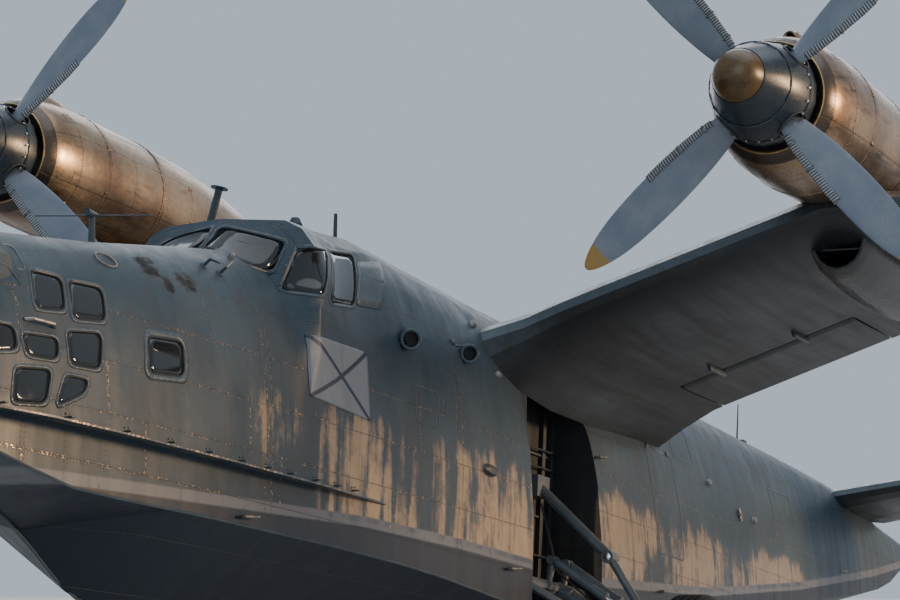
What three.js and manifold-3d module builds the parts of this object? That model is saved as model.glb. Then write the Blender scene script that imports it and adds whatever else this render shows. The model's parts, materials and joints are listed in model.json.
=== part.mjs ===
// A twin turboprop amphibious flying boat with a gull wing, twin fins and a tail wheel,
// standing on its gear.
// Millimetres. Row frame: +Z up, +X to port, nose towards -Y, origin on the floor under the
// middle of the aircraft.
// Aircraft frame: x to port, y the station aft of the propeller plane, z above the thrust line.
import * as THREE from "three";
import { mergeVertices } from "three/addons/utils/BufferGeometryUtils.js";
import Module from "manifold-3d";

const wasm = await Module();
wasm.setup();

// Driving dimensions
const noseUp = THREE.MathUtils.degToRad(6); // the hull's attitude when it is parked
const hubHeight = 6400; // the thrust line over the floor, at the propeller plane
const noseTip = -9400;
const tailTip = 20790;
const halfSpan = 14920;
const engineX = 4570;
const propRadius = 2500;
const gap = 0.3; // between faces that touch
const running = 20; // round a moving surface

// The hull, bow to first step. station: aft of the propellers, top: crown of the section,
// chine: height of the chine, beam: half width there, keel: height of the keel,
// base: where the crown starts, if that is under the chine, full: power of the crown's curve,
// rake: how far its shoulders lie behind its middle
const forebody = [
  { station: -7900, top: -3650, chine: -4340, beam: 300, keel: -4400, full: 2.1 },
  { station: -7780, top: -3410, chine: -4400, beam: 500, keel: -4470, full: 2.1 },
  { station: -7500, top: -3060, chine: -4500, beam: 690, keel: -4570, full: 2.2 },
  { station: -7150, top: -2720, chine: -4580, beam: 800, keel: -4650, full: 2.3 },
  { station: -6900, top: -2600, chine: -4640, beam: 850, keel: -4700, full: 2.4 },
  { station: -6300, top: -2505, chine: -4740, beam: 925, keel: -4790, full: 2.5 },
  { station: -5700, top: -2422, chine: -4750, beam: 985, keel: -5020, full: 2.6 },
  { station: -4900, top: -2305, chine: -4745, beam: 1045, keel: -5460, full: 2.7 },
  { station: -4100, top: -2165, chine: -4740, beam: 1090, keel: -5640, full: 2.7 },
  { station: -3080, top: -1985, chine: -4740, beam: 1130, keel: -5680, full: 2.8 },
  { station: -2930, top: -1965, chine: -4740, beam: 1137, keel: -5680, full: 2.8, rake: 330 },
  { station: -2600, top: -1600, chine: -4740, beam: 1150, keel: -5680, full: 5.5, rake: 160 },
  { station: -2100, top: -1512, chine: -4740, beam: 1165, keel: -5680, full: 3.8, rake: 100 },
  { station: -1500, top: -1460, chine: -4740, beam: 1180, keel: -5670, full: 3 },
  { station: -800, top: -1405, chine: -4755, beam: 1195, keel: -5650, full: 3 },
  { station: 200, top: -1448, chine: -4790, beam: 1210, keel: -5620, full: 2.9 },
  { station: 1400, top: -1482, chine: -4860, beam: 1220, keel: -5590, full: 2.7 },
  { station: 2300, top: -1502, chine: -4900, beam: 1225, keel: -5560, full: 2.5 },
  { station: 4100, top: -1530, chine: -4950, beam: 1225, keel: -5500, full: 2.3 },
];
const afterbody = [
  { station: 4100, top: -1530, chine: -4760, beam: 1225, keel: -5290, base: -4950, full: 2.3 },
  { station: 6000, top: -1545, chine: -4660, beam: 1170, keel: -5090, base: -4820, full: 2.2 },
  { station: 8000, top: -1575, chine: -4480, beam: 1070, keel: -4840, base: -4600, full: 2.1 },
  { station: 9800, top: -1620, chine: -4270, beam: 940, keel: -4600, base: -4360 },
  { station: 10900, top: -1655, chine: -4120, beam: 850, keel: -4440, base: -4200 },
];
const tailbody = [
  { station: 10900, top: -1655, chine: -4010, beam: 850, keel: -4250, base: -4200 },
  { station: 12000, top: -1690, chine: -3830, beam: 790, keel: -4060 },
  { station: 13500, top: -1745, chine: -3620, beam: 700, keel: -3830 },
  { station: 15000, top: -1810, chine: -3420, beam: 600, keel: -3590 },
  { station: 16300, top: -1950, chine: -3210, beam: 480, keel: -3340 },
  { station: 17200, top: -2090, chine: -3010, beam: 370, keel: -3100 },
  { station: 18300, top: -2210, chine: -2640, beam: 230, keel: -2680 },
];
const boomFront = 18300;
const crownSteps = 14; // segments over the crown of a hull section

const deck = -4200; // level of the spray strake, floor of the nose cabin
const cabinBack = -4560;
const canopy = { front: -3080, back: -940, sill: -2520, wall: 45 };
const cockpit = { front: -2760, back: -1010, halfWidth: 760, floor: -3050 };
const glassThick = 8;
const well = { front: 2360, back: 4270, inner: 540, floor: -4860 };
const joinA = 1400; // where the forward hull meets the centre hull
const joinB = 8000; // where the centre hull meets the rear hull

// The wing. x: distance from the centreline, lead and trail: stations of the edges,
// z: height of the leading edge, thick: thickness, deep: the thickness that shapes the underside,
// drop: how far the trailing edge hangs below the leading edge
const wingRoot = [
  { x: 520, lead: 1350, trail: 6900, z: -2230, thick: 600, deep: 2200, drop: 370 },
  { x: 900, lead: 1620, trail: 6700, z: -2070, thick: 640, deep: 1500, drop: 360 },
  { x: 1250, lead: 1770, trail: 6500, z: -1935, thick: 640, deep: 1000, drop: 350 },
  { x: 1700, lead: 1800, trail: 6320, z: -1755, thick: 640, deep: 700, drop: 350 },
];
const wingKink = { x: engineX, lead: 1820, trail: 6300, z: -785, thick: 640, deep: 640, drop: 290 };
const wingTip = { x: halfSpan - 250, lead: 3000, trail: 5150, z: -820, thick: 250, deep: 250, drop: 190 };
const flapChord = 0.27; // share of the chord behind the hinge line
const innerFlap = { from: 1750, to: 3850 };
const outerFlap = { from: 5450, to: 9300 };
const aileron = { from: 9420, to: 14350 };

const tail = { root: { x: 430, z: -2000, lead: 14780, chord: 2800, thick: 330 } };
tail.tip = { x: 4800, z: -1250, lead: 15150, chord: 2300, thick: 230 };
const elevator = { from: 760, to: 4480 };
const fin = { x: 4860, bottom: -2750, top: 1100, thick: 220 };

const nacelle = { front: 220, back: 6300, sides: 36 };
const mainWheel = { x: 2640, y: 3560, radius: 725, width: 480, rim: 400, axle: 60 };
const tailSocketTop = -3400;
const tailWheel = { y: 13700, radius: 475, width: 300, rim: 230, axle: 32 };

// Colours from the photo, as it would look in plain light
const paint = {
  grey: { color: 0x8f9ba3, roughness: 0.5, metalness: 0.1 },
  hullBlue: { color: 0x34566e, roughness: 0.55, metalness: 0.1 },
  metal: { color: 0xa79a8c, roughness: 0.32, metalness: 0.85 },
  dark: { color: 0x2b2d2f, roughness: 0.7, metalness: 0.1 },
  blade: { color: 0x9aa2a8, roughness: 0.45, metalness: 0.2 },
  glass: { color: 0x20303a, roughness: 0.08, metalness: 0.0, transparent: true, opacity: 0.4 },
  rubber: { color: 0x1c1c1d, roughness: 0.85, metalness: 0.0 },
  steel: { color: 0x7d8286, roughness: 0.4, metalness: 0.7 },
  cream: { color: 0xd9d5c8, roughness: 0.5, metalness: 0.0 },
  seat: { color: 0x4a4640, roughness: 0.8, metalness: 0.0 },
};

// Geometry to solid and back

function solidOf(geometry) {
  const bare = geometry.clone();
  for (const name of Object.keys(bare.attributes)) if (name !== "position") bare.deleteAttribute(name);
  const merged = mergeVertices(bare, 1e-3);
  const triVerts = new Uint32Array(merged.index.array);
  const vertProperties = new Float32Array(merged.attributes.position.array);
  const made = new wasm.Manifold(new wasm.Mesh({ numProp: 3, vertProperties, triVerts }));
  if (made.volume() >= 0) return made;
  for (let i = 0; i < triVerts.length; i += 3) {
    [triVerts[i + 1], triVerts[i + 2]] = [triVerts[i + 2], triVerts[i + 1]];
  }
  return new wasm.Manifold(new wasm.Mesh({ numProp: 3, vertProperties, triVerts }));
}

function geometryOf(solid) {
  const mesh = solid.getMesh();
  const geometry = new THREE.BufferGeometry();
  geometry.setAttribute("position", new THREE.BufferAttribute(new Float32Array(mesh.vertProperties), 3));
  geometry.setIndex(new THREE.BufferAttribute(new Uint32Array(mesh.triVerts), 1));
  const flat = geometry.toNonIndexed();
  flat.computeVertexNormals();
  return flat;
}

// Skins a row of rings of points, each with the same count, and closes both ends.
function loft(rings) {
  const count = rings[0].length;
  const points = rings.flat();
  const faces = [];
  for (let r = 0; r + 1 < rings.length; r++) {
    for (let i = 0; i < count; i++) {
      const j = (i + 1) % count;
      const a = r * count + i;
      const b = r * count + j;
      const short = points[a].distanceTo(points[b + count]) <=
          points[b].distanceTo(points[a + count]) + 1e-4;
      if (short) faces.push(a, b, b + count, a, b + count, a + count);
      else faces.push(a, b, a + count, b, b + count, a + count);
    }
  }
  const end = (ring, first, turned) => {
    const normal = new THREE.Vector3();
    for (let i = 0; i < count; i++) {
      normal.add(new THREE.Vector3().crossVectors(ring[i], ring[(i + 1) % count]));
    }
    normal.normalize();
    const u = new THREE.Vector3().subVectors(ring[1], ring[0]).projectOnPlane(normal).normalize();
    const v = new THREE.Vector3().crossVectors(normal, u);
    const flat = ring.map((p) => new THREE.Vector2(p.dot(u), p.dot(v)));
    for (const [a, b, c] of THREE.ShapeUtils.triangulateShape(flat, [])) {
      if (turned) faces.push(first + a, first + b, first + c);
      else faces.push(first + a, first + c, first + b);
    }
  };
  end(rings[0], 0, false);
  end(rings[rings.length - 1], (rings.length - 1) * count, true);
  const geometry = new THREE.BufferGeometry();
  geometry.setAttribute("position", new THREE.Float32BufferAttribute(points.flatMap((p) => [p.x, p.y,
      p.z]), 3));
  geometry.setIndex(faces);
  return solidOf(geometry);
}

function block(x0, x1, y0, y1, z0, z1) {
  const geometry = new THREE.BoxGeometry(x1 - x0, y1 - y0, z1 - z0);
  geometry.translate((x0 + x1) / 2, (y0 + y1) / 2, (z0 + z1) / 2);
  return solidOf(geometry);
}

// A round bar between two points, which may taper.
function bar(from, to, r0, r1 = r0, sides = 12) {
  const a = new THREE.Vector3(...from);
  const b = new THREE.Vector3(...to);
  const geometry = new THREE.CylinderGeometry(r1, r0, a.distanceTo(b), sides);
  geometry.translate(0, a.distanceTo(b) / 2, 0);
  const turn = new THREE.Quaternion().setFromUnitVectors(
    new THREE.Vector3(0, 1, 0),
    new THREE.Vector3().subVectors(b, a).normalize(),
  );
  geometry.applyQuaternion(turn);
  geometry.translate(a.x, a.y, a.z);
  return solidOf(geometry);
}

// Turns a profile of [radius, station] pairs round the fore and aft axis, then moves it to x, z.
function turned(profile, sides, x = 0, z = 0) {
  const geometry = new THREE.LatheGeometry(profile.map(([r, y]) => new THREE.Vector2(r, y)), sides);
  geometry.translate(x, 0, z);
  return solidOf(geometry);
}

// A flat outline of [y, z] points, pushed along x.
function slab(outline, x0, x1) {
  const shape = new THREE.Shape(outline.map(([y, z]) => new THREE.Vector2(y, z)));
  const geometry = new THREE.ExtrudeGeometry(shape, { depth: x1 - x0, bevelEnabled: false });
  geometry.applyMatrix4(new THREE.Matrix4().set(0, 0, 1, x0, 1, 0, 0, 0, 0, 1, 0, 0, 0, 0, 0, 1));
  return solidOf(geometry);
}

const union = (first, ...rest) => rest.reduce((sum, s) => sum.add(s), first);
const mirrored = (solid) => solid.mirror([1, 0, 0]);
const both = (solid) => solid.add(mirrored(solid));

// Hull

const mix = (a, b, t) => a + (b - a) * t;

function hullAt(table, y) {
  const k = Math.max(0, Math.min(table.length - 2, table.findIndex((row) => row.station >= y) - 1));
  const [a, b] = [table[k], table[k + 1]];
  const t = (y - a.station) / (b.station - a.station);
  const made = { station: y };
  for (const key of ["top", "chine", "beam", "keel", "full"]) made[key] = mix(a[key], b[key], t);
  return made;
}

// A rounded crown over the chines and a shallow vee under them. grow moves the skin out, or in where it
// is negative.
function hullRing({ station, top, chine, beam, keel, base = chine, full = 2, rake = 0 }, grow = 0) {
  const ring = [];
  const foot = (1 - ((chine - base) / (top - base)) ** full) ** (1 / full);
  for (let i = 0; i <= crownSteps; i++) {
    const a = (Math.PI * i) / crownSteps;
    const across = Math.sign(Math.cos(a)) * Math.abs(Math.cos(a)) ** (2 / full);
    if (i % crownSteps) {
      const up = Math.sin(a) ** (2 / full);
      const back = station + rake * Math.abs(across) * up;
      ring.push(new THREE.Vector3((beam + grow) * across, back, base + (top - base + grow) * up));
    } else {
      ring.push(new THREE.Vector3((beam + grow) * across * foot, station, chine));
    }
  }
  ring.push(new THREE.Vector3(0, station, keel - grow));
  return ring;
}

function hullSkin(table, grow = 0) {
  return loft(table.map((row) => hullRing(row, grow)));
}

// The half width of the hull at a height.
function hullHalf(table, y, z) {
  const { top, chine, beam, full } = hullAt(table, y);
  return beam * (1 - ((z - chine) / (top - chine)) ** full) ** (1 / full);
}

const foreSkin = hullSkin(forebody);
const hullAll = union(foreSkin, hullSkin(afterbody), hullSkin(tailbody));
const hullGrown = union(hullSkin(forebody, gap), hullSkin(afterbody, gap), hullSkin(tailbody, gap));

// Radome over the nose. z: height of the section's middle, wide and high: half sizes
const radomeTable = [
  { station: -6900, z: -3040, wide: 590, high: 478 },
  { station: -7600, z: -3080, wide: 545, high: 455 },
  { station: -8200, z: -3120, wide: 470, high: 410 },
  { station: -8750, z: -3160, wide: 365, high: 330 },
  { station: -9150, z: -3190, wide: 235, high: 215 },
  { station: -9340, z: -3205, wide: 120, high: 110 },
  { station: noseTip, z: -3210, wide: 40, high: 36 },
];
function radomeSkin(grow = 0) {
  const rows = radomeTable.map((row, i) => (i ? row : { ...row, station: row.station + grow }));
  return loft(
    rows.map(({ station, z, wide, high }) =>
      Array.from({ length: 16 }, (_, i) => {
        const a = (2 * Math.PI * i) / 16;
        return new THREE.Vector3((wide + grow) * Math.cos(a), station, z + (high + grow) * Math.sin(a));
      }),
    ),
  );
}

const cabinRegion = block(-1300, 1300, -8200, cabinBack - gap, deck + gap, -2000);
const canopyRegion = block(-1300, 1300, canopy.front, canopy.back, canopy.sill, 0);

// A window is cut through the skin by a prism over its outline, seen from the side.
const sideHole = (outline, x0 = 100, x1 = 1400) => slab(outline, x0, x1);

// Nose cabin windows: corners as [station, height], seen from port
const noseWindows = [
  [[-6740, -3285], [-6345, -3240], [-6275, -2935], [-6660, -2940]],
  [[-6265, -3290], [-5810, -3235], [-5745, -2925], [-6185, -2945]],
  [[-6915, -3715], [-6520, -3690], [-6490, -3500], [-6945, -3535]],
  [[-6365, -3700], [-5960, -3680], [-5890, -3350], [-6360, -3415]],
  [[-7090, -4135], [-6690, -4090], [-6605, -3790], [-7040, -3840]],
  [[-6550, -4085], [-6190, -3925], [-6115, -3798], [-6420, -3804]],
  [[-7420, -3760], [-7015, -3690], [-7020, -3490], [-7400, -3500]],
  [[-5270, -3590], [-4728, -3540], [-4695, -3215], [-5212, -3256]],
];
const frontWindows = [
  { x0: 60, x1: 330, z0: -3830, z1: -3620 },
  { x0: 60, x1: 330, z0: -4120, z1: -3920 },
];

function noseHoles() {
  const sides = noseWindows.map((outline) => both(sideHole(outline, 420)));
  const fronts = frontWindows.map(({ x0, x1, z0, z1 }) => both(block(x0, x1, -8100, -7450, z0, z1)));
  return union(...sides, ...fronts);
}

function makeNoseCabin() {
  const inside = hullSkin(forebody, -45).intersect(block(-1300, 1300, -7855, cabinBack + 10, -6000, 0));
  const shell = foreSkin.intersect(cabinRegion).subtract(inside).subtract(noseHoles());
  return shell.subtract(radomeSkin(gap)).add(makeBowMast().subtract(inside));
}

function makeNoseGlass() {
  const front = -7854;
  const outer = hullSkin(forebody, -46).intersect(block(-1300, 1300, front, cabinBack - 40, deck + 20,
      -2870));
  const inner = hullSkin(forebody, -46 - glassThick).intersect(block(-1300, 1300, front + glassThick,
      0, -6000, 0));
  return outer.subtract(inner).subtract(radomeSkin(2 * gap));
}

// Cockpit windows: corners as [station, height], seen from port
const sideWindows = [
  { from: 740, outline: [[-2727, -2363], [-2442, -2379], [-2015, -1839], [-2555, -1922]] },
  { from: 640, outline: [[-2270, -2404], [-1642, -2322], [-1159, -1700], [-1835, -1801]] },
];
const screen = { x0: 42, x1: 680, x2: 738, back: -2200 };

function canopyHoles() {
  const sides = sideWindows.map(({ from, outline }) => both(sideHole(outline, from)));
  const pane = loft(
    [-3300, screen.back].map((y) => [
      new THREE.Vector3(screen.x0, y, -1955),
      new THREE.Vector3(screen.x1, y, -2195),
      new THREE.Vector3(screen.x2, y, -1862),
      new THREE.Vector3(screen.x0, y, -1690),
    ]),
  );
  return union(both(pane), ...sides);
}

function makeCanopy() {
  const inside = hullSkin(forebody, -canopy.wall).intersect(
    block(-1300, 1300, canopy.front - 50, canopy.back - canopy.wall, -3000, 0),
  );
  const tops = makeRoofMast().add(makeBeacon()).subtract(inside);
  return foreSkin.intersect(canopyRegion).subtract(inside).subtract(canopyHoles()).add(tops);
}

function makeCockpitGlass() {
  const region = block(-1300, 1300, canopy.front + 60, canopy.back - 60, canopy.sill + 10, -1560);
  const outer = hullSkin(forebody, -canopy.wall - 1);
  return outer.intersect(region).subtract(hullSkin(forebody, -canopy.wall - 1 - glassThick));
}

function makeForwardHull() {
  const region = block(-1500, 1500, -8500, joinA - gap, -7000, 0);
  const cabinCut = block(-1300, 1300, -9000, cabinBack, deck, 0);
  const canopyCut = block(-1300, 1300, canopy.front - gap, canopy.back + gap, canopy.sill - gap, 0);
  const tub = block(-cockpit.halfWidth, cockpit.halfWidth, cockpit.front, cockpit.back, cockpit.floor,
      -1000);
  const body = foreSkin.intersect(region).subtract(cabinCut).subtract(canopyCut).subtract(tub)
      .subtract(both(makeVent()));
  return union(body, makeAerial(), ...inlets.map((row) => both(makeInlet(row))));
}

// The arch that the wheel swings up into
function wellArch() {
  const radius = (well.back - well.front) / 2;
  const middle = (well.front + well.back) / 2;
  const springing = -3060;
  const outline = [[well.back, well.floor], [well.front, well.floor]];
  for (let i = 0; i <= 12; i++) {
    const a = Math.PI - (Math.PI * i) / 12;
    outline.push([middle + radius * Math.cos(a), springing + radius * Math.sin(a)]);
  }
  return slab(outline.reverse(), well.inner, 1700);
}

function makeCentreHull() {
  const region = block(-1500, 1500, joinA, joinB - gap, -7000, 0);
  return hullAll.intersect(region).subtract(both(wellArch()));
}

function makeRearHull() {
  const region = block(-1500, 1500, joinB, boomFront, -7000, 0);
  const socket = block(-260, 260, tailWheel.y - 480, tailWheel.y + 300, -4100, tailSocketTop);
  const { y, radius, top } = tailPost;
  const bearing = upright(bar([0, y, top + gap], [0, y, top + 420], radius + 40, radius + 40, 12),
      tailWheel.y, tailAxle);
  return union(hullAll.intersect(region).subtract(socket), bearing, makeWhip());
}

function makeTailBoom() {
  return turned(
    [[0, boomFront + gap], [165, boomFront + gap], [130, 20100], [165, 20160], [165, 20480], [95, 20640],
      [0, tailTip]],
    14, 0, -2400,
  );
}

// Masts, a lamp and air inlets that stand on the hull

function makeBowMast() {
  const y = -4860;
  const post = bar([0, y + 20, -2420], [0, y, -2045], 40, 27, 10);
  const head = bar([0, y - 90, -2040], [0, y + 70, -2040], 36, 24, 10);
  const rod = bar([-620, y, -2022], [620, y, -2087], 7, 7, 6);
  return union(post, head, rod);
}

function makeRoofMast() {
  const tube = bar([-305, -2300, -1650], [-225, -2272, -1212], 42, 38, 10);
  const plate = bar([-225, -2272, -1216], [-223, -2271, -1202], 88, 88, 14);
  return tube.add(plate);
}

function makeBeacon() {
  const y = -1110;
  return bar([0, y, -1470], [0, y, -1335], 88, 76, 12).add(bar([0, y, -1336], [0, y, -1272], 76, 42, 12));
}

const makeAerial = () => bar([0, -240, -1450], [0, -262, -1045], 24, 19, 8);

function makeWhip() {
  const whip = bar([0, 11546, -1740], [0, 11550, -1170], 13, 7, 6);
  return whip.add(block(-35, 35, 11690, 11830, -1760, -1640));
}

// A short tube that stands out of the side of the hull, open at its outer end
const inlets = [
  { from: [950, -400, -2425], to: [1150, -660, -2485], radius: 100 },
  { from: [890, 1090, -2310], to: [1090, 830, -2370], radius: 92 },
];
function makeInlet({ from, to, radius }) {
  const mouth = to.map((v, i) => mix(from[i], v, 0.55));
  const past = to.map((v, i) => mix(from[i], v, 1.1));
  return bar(from, to, radius + 14, radius, 14).subtract(bar(mouth, past, radius - 24, radius - 16, 14));
}

// Oval vent in the side: its middle, and half its length and height
const vent = { y: 1240, z: -3547, long: 150, high: 58, depth: 70 };
function makeVent() {
  const x = hullHalf(forebody, vent.y, vent.z);
  const outline = Array.from({ length: 14 }, (_, i) => {
    const a = (2 * Math.PI * i) / 14;
    return [vent.y + vent.long * Math.cos(a), vent.z + vent.high * Math.sin(a)];
  });
  return slab(outline, x - vent.depth, x + 200);
}

// Spray strake: a flange round the bow at deck level. wide: how far it stands out
const strakeTable = [
  { station: -1100, wide: 8 },
  { station: -1500, wide: 65 },
  { station: -2600, wide: 165 },
  { station: -4200, wide: 225 },
  { station: -5800, wide: 255 },
  { station: -6900, wide: 270 },
  { station: -7500, wide: 275 },
];
function makeStrake() {
  const sideRings = strakeTable.map(({ station, wide }) => {
    const x = hullHalf(forebody, station, deck);
    return { inner: [x - 60, station], outer: [x + wide, station - wide * 0.1] };
  });
  const bow = [
    { inner: [380, -7700], outer: [600, -7960] },
    { inner: [150, -7800], outer: [260, -8110] },
  ];
  const port = [...sideRings, ...bow];
  const starboard = port.map(({ inner, outer }) => ({ inner: [-inner[0], inner[1]], outer: [-outer[0],
      outer[1]] }));
  const rings = [...port, ...starboard.reverse()].map(({ inner, outer }) => {
    const droop = 0.12 * Math.hypot(outer[0] - inner[0], outer[1] - inner[1]);
    return [
      new THREE.Vector3(inner[0], inner[1], deck + 14),
      new THREE.Vector3(outer[0], outer[1], deck + 8 - droop),
      new THREE.Vector3(outer[0], outer[1], deck - 8 - droop),
      new THREE.Vector3(inner[0], inner[1], deck - 22),
    ];
  });
  return loft(rings).subtract(hullGrown).subtract(block(-310, 310, -7900 - gap, -7600, -5000, 0));
}

// Wing

// The aerofoil's thickness over and under the chord where the surfaces are hinged
const hingeOver = 0.345;
const hingeUnder = 0.14;

// An aerofoil as [share of chord, share of thickness] pairs, nose to tail over the top and back underneath
const foil = [
  [0, 0], [0.012, 0.19], [0.05, 0.37], [0.14, 0.56], [0.3, 0.66], [0.5, 0.57], [0.73, hingeOver], [1, 0.02],
  [1, -0.02], [0.73, -hingeUnder], [0.5, -0.27], [0.3, -0.34], [0.14, -0.32], [0.05, -0.22], [0.012, -0.12],
];

function foilRing({ x, lead, trail, z, thick, deep, drop }, grow = 0) {
  return foil.map(([c, t]) => {
    const push = grow * Math.sign(t || 1);
    const y = lead + (trail - lead) * c + (c === 0 ? -grow : 0) + (c === 1 ? grow : 0);
    return new THREE.Vector3(x, y, z - drop * c + (t > 0 ? thick : deep) * t + (c === 0 ? 0 : push));
  });
}

function wingAt(x) {
  const rows = [...wingRoot, wingKink, wingTip];
  const k = Math.max(0, Math.min(rows.length - 2, rows.findIndex((row) => row.x >= x) - 1));
  const [a, b] = [rows[k], rows[k + 1]];
  const t = (x - a.x) / (b.x - a.x);
  const made = { x };
  for (const key of ["lead", "trail", "z", "thick", "deep", "drop"]) made[key] = mix(a[key], b[key], t);
  return made;
}

function wingSkin(rows, grow = 0) {
  return loft(rows.map((row) => foilRing(row, grow)));
}

// The hinge line of a surface behind the wing, with the radius of its nose
function hingeAt(x) {
  const row = wingAt(x);
  const chord = row.trail - row.lead;
  const share = 1 - flapChord;
  const above = hingeOver * row.thick;
  const below = hingeUnder * row.deep;
  return {
    point: new THREE.Vector3(x, row.lead + chord * share, row.z - row.drop * share + (above - below) / 2),
    radius: (above + below) / 2,
    tail: new THREE.Vector3(x, row.trail, row.z - row.drop),
  };
}

// The frame of a hinge line at one end of a surface: along the line, back along the chord, and up
function frameOf(ends) {
  const across = new THREE.Vector3().subVectors(ends[ends.length - 1].point, ends[0].point).normalize();
  return ends.map(({ point, radius, tail: edge }) => {
    const chord = new THREE.Vector3().subVectors(edge, point).projectOnPlane(across);
    const back = chord.clone().normalize();
    return { point, radius, length: chord.length(), across, back,
        up: new THREE.Vector3().crossVectors(across, back) };
  });
}

// A surface with a round nose about its hinge line, and a stub of its hinge pin at both ends
function surface(ends, stubs) {
  const frames = frameOf(ends);
  const rings = frames.map(({ point, radius, length, back, up }) => {
    const at = (y, z) => point.clone().addScaledVector(back, y).addScaledVector(up, z);
    const nose = Array.from({ length: 7 }, (_, i) => {
      const a = Math.PI / 2 + (Math.PI * i) / 6;
      return at(radius * Math.cos(a), radius * Math.sin(a));
    });
    return [...nose, at(length, -6), at(length, 6)];
  });
  const { across } = frames[0];
  const pins = stubs.map(([point, inward]) => {
    const sign = inward ? 1 : -1;
    const tip = point.clone().addScaledVector(across, sign * 2 * gap);
    const foot = point.clone().addScaledVector(across, sign * 60);
    return bar(tip.toArray(), foot.toArray(), hingePin, hingePin, 10);
  });
  return union(loft(rings), ...pins);
}
const hingePin = 24;

function wingSurface({ from, to }) {
  const [near, far] = [from, to].map(hingeAt);
  return surface([from + running, to - running].map(hingeAt), [[near.point, true], [far.point, false]]);
}

// The notch that a surface sits in, square to its hinge line
function notchOf(ends) {
  return loft(
    frameOf(ends).map(({ point, radius, back, up }) =>
      [[-radius - running, 700], [-radius - running, -700], [2600, -700], [2600, 700]].map(([y, z]) =>
        point.clone().addScaledVector(back, y).addScaledVector(up, z),
      ),
    ),
  );
}
const wingNotch = ({ from, to }) => notchOf([from, to].map(hingeAt));

function roundTip() {
  const tip = wingTip;
  const rows = [0, 0.5, 0.8, 1].map((t) => {
    const shrink = Math.sqrt(1 - (t * 0.96) ** 2);
    const chord = tip.trail - tip.lead;
    const middle = tip.lead + chord * 0.45;
    return {
      x: tip.x + 250 * t,
      lead: mix(middle, tip.lead, shrink),
      trail: mix(middle, tip.trail, shrink),
      z: tip.z - tip.drop * 0.45 * (1 - shrink),
      thick: tip.thick * shrink,
      deep: tip.deep * shrink,
      drop: tip.drop * shrink,
    };
  });
  return rows;
}

const wingSplit = 5200; // the joint between the inner and the outer wing
const innerRows = [...wingRoot, wingKink, wingAt(wingSplit)];
const outerRows = [wingAt(wingSplit + gap), wingTip, ...roundTip().slice(1)];

const pad = { x: 6200, y: 3300, half: 110, depth: 60 };

function makeInnerWing() {
  return wingSkin(innerRows).subtract(wingNotch(innerFlap)).subtract(hullGrown);
}

function makeOuterWing() {
  const { z, drop, thick } = wingAt(pad.x);
  const under = z - drop * 0.35 - thick * 0.33;
  const jack = block(pad.x - pad.half, pad.x + pad.half, pad.y - pad.half, pad.y + pad.half,
      under - pad.depth, under + 60);
  const whole = wingSkin(outerRows);
  return whole.subtract(wingNotch(outerFlap)).subtract(wingNotch(aileron)).add(jack);
}

// Tail

const tailFoil = [
  [0, 0], [0.02, 0.26], [0.1, 0.44], [0.3, 0.5], [0.62, 0.36], [1, 0.03],
  [1, -0.03], [0.62, -0.36], [0.3, -0.5], [0.1, -0.44], [0.02, -0.26],
];
const elevatorShare = 0.36;
const tailAt = (x) => {
  const { root, tip } = tail;
  const made = { x };
  for (const key of ["z", "lead", "chord", "thick"]) made[key] = mix(root[key], tip[key],
      (x - root.x) / (tip.x - root.x));
  return made;
};

function tailRing(x, grow = 0) {
  const { z, lead, chord, thick } = tailAt(x);
  return tailFoil.map(([c, t]) => {
    const y = lead + chord * c + (c === 0 ? -grow : 0) + (c === 1 ? grow : 0);
    return new THREE.Vector3(x, y, z + thick * t + (c === 0 ? 0 : grow * Math.sign(t)));
  });
}

function elevatorHinge(x) {
  const { z, lead, chord, thick } = tailAt(x);
  return {
    point: new THREE.Vector3(x, lead + chord * (1 - elevatorShare), z),
    radius: thick * 0.34,
    tail: new THREE.Vector3(x, lead + chord, z),
  };
}

// The tailplane runs out to the fin, and a lug at its end carries the elevator's outer hinge.
function makeTailplane(finGrown) {
  const open = notchOf([elevator.from, tail.tip.x + 400].map(elevatorHinge));
  const { point, radius } = elevatorHinge(elevator.to + running);
  const face = point.x + 3.9; // clear of the pin, which leans with the dihedral
  const lug = block(face, face + 40, point.y - radius - 60, point.y + 40, point.z - 42, point.z + 42);
  const whole = loft([tailRing(tail.root.x - 300), tailRing(fin.x + fin.thick / 2)]);
  return whole.subtract(open).add(lug).subtract(hullGrown).subtract(finGrown);
}

function makeElevator() {
  const [near, far] = [elevator.from, elevator.to + running].map(elevatorHinge);
  return surface([elevator.from + running, elevator.to].map(elevatorHinge), [[near.point, true],
      [far.point, false]]);
}

// Fin outline: lead and trail edges by height
const finRows = [
  { z: fin.bottom, lead: 15550, trail: 16750 },
  { z: fin.bottom + 160, lead: 15170, trail: 17030 },
  { z: fin.bottom + 600, lead: 14850, trail: 17350 },
  { z: -1500, lead: 14670, trail: 17550 },
  { z: -200, lead: 14830, trail: 17530 },
  { z: 560, lead: 15130, trail: 17390 },
  { z: 930, lead: 15450, trail: 17190 },
  { z: fin.top, lead: 15850, trail: 16910 },
];
const rudderHinge = 16630;
const rudderSpan = { from: -2350, to: 780 };

function finRing({ z, lead, trail }, grow = 0) {
  const chord = trail - lead;
  const thick = Math.min(fin.thick, chord * 0.1);
  const middle = fin.x + fin.thick / 2;
  return tailFoil.map(([c, t]) => new THREE.Vector3(middle + (thick + 2 * grow) * t, lead + chord * c, z));
}

function finAt(z) {
  const k = Math.max(0, Math.min(finRows.length - 2, finRows.findIndex((row) => row.z >= z) - 1));
  const [a, b] = [finRows[k], finRows[k + 1]];
  const t = (z - a.z) / (b.z - a.z);
  return { z, lead: mix(a.lead, b.lead, t), trail: mix(a.trail, b.trail, t) };
}

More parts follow.
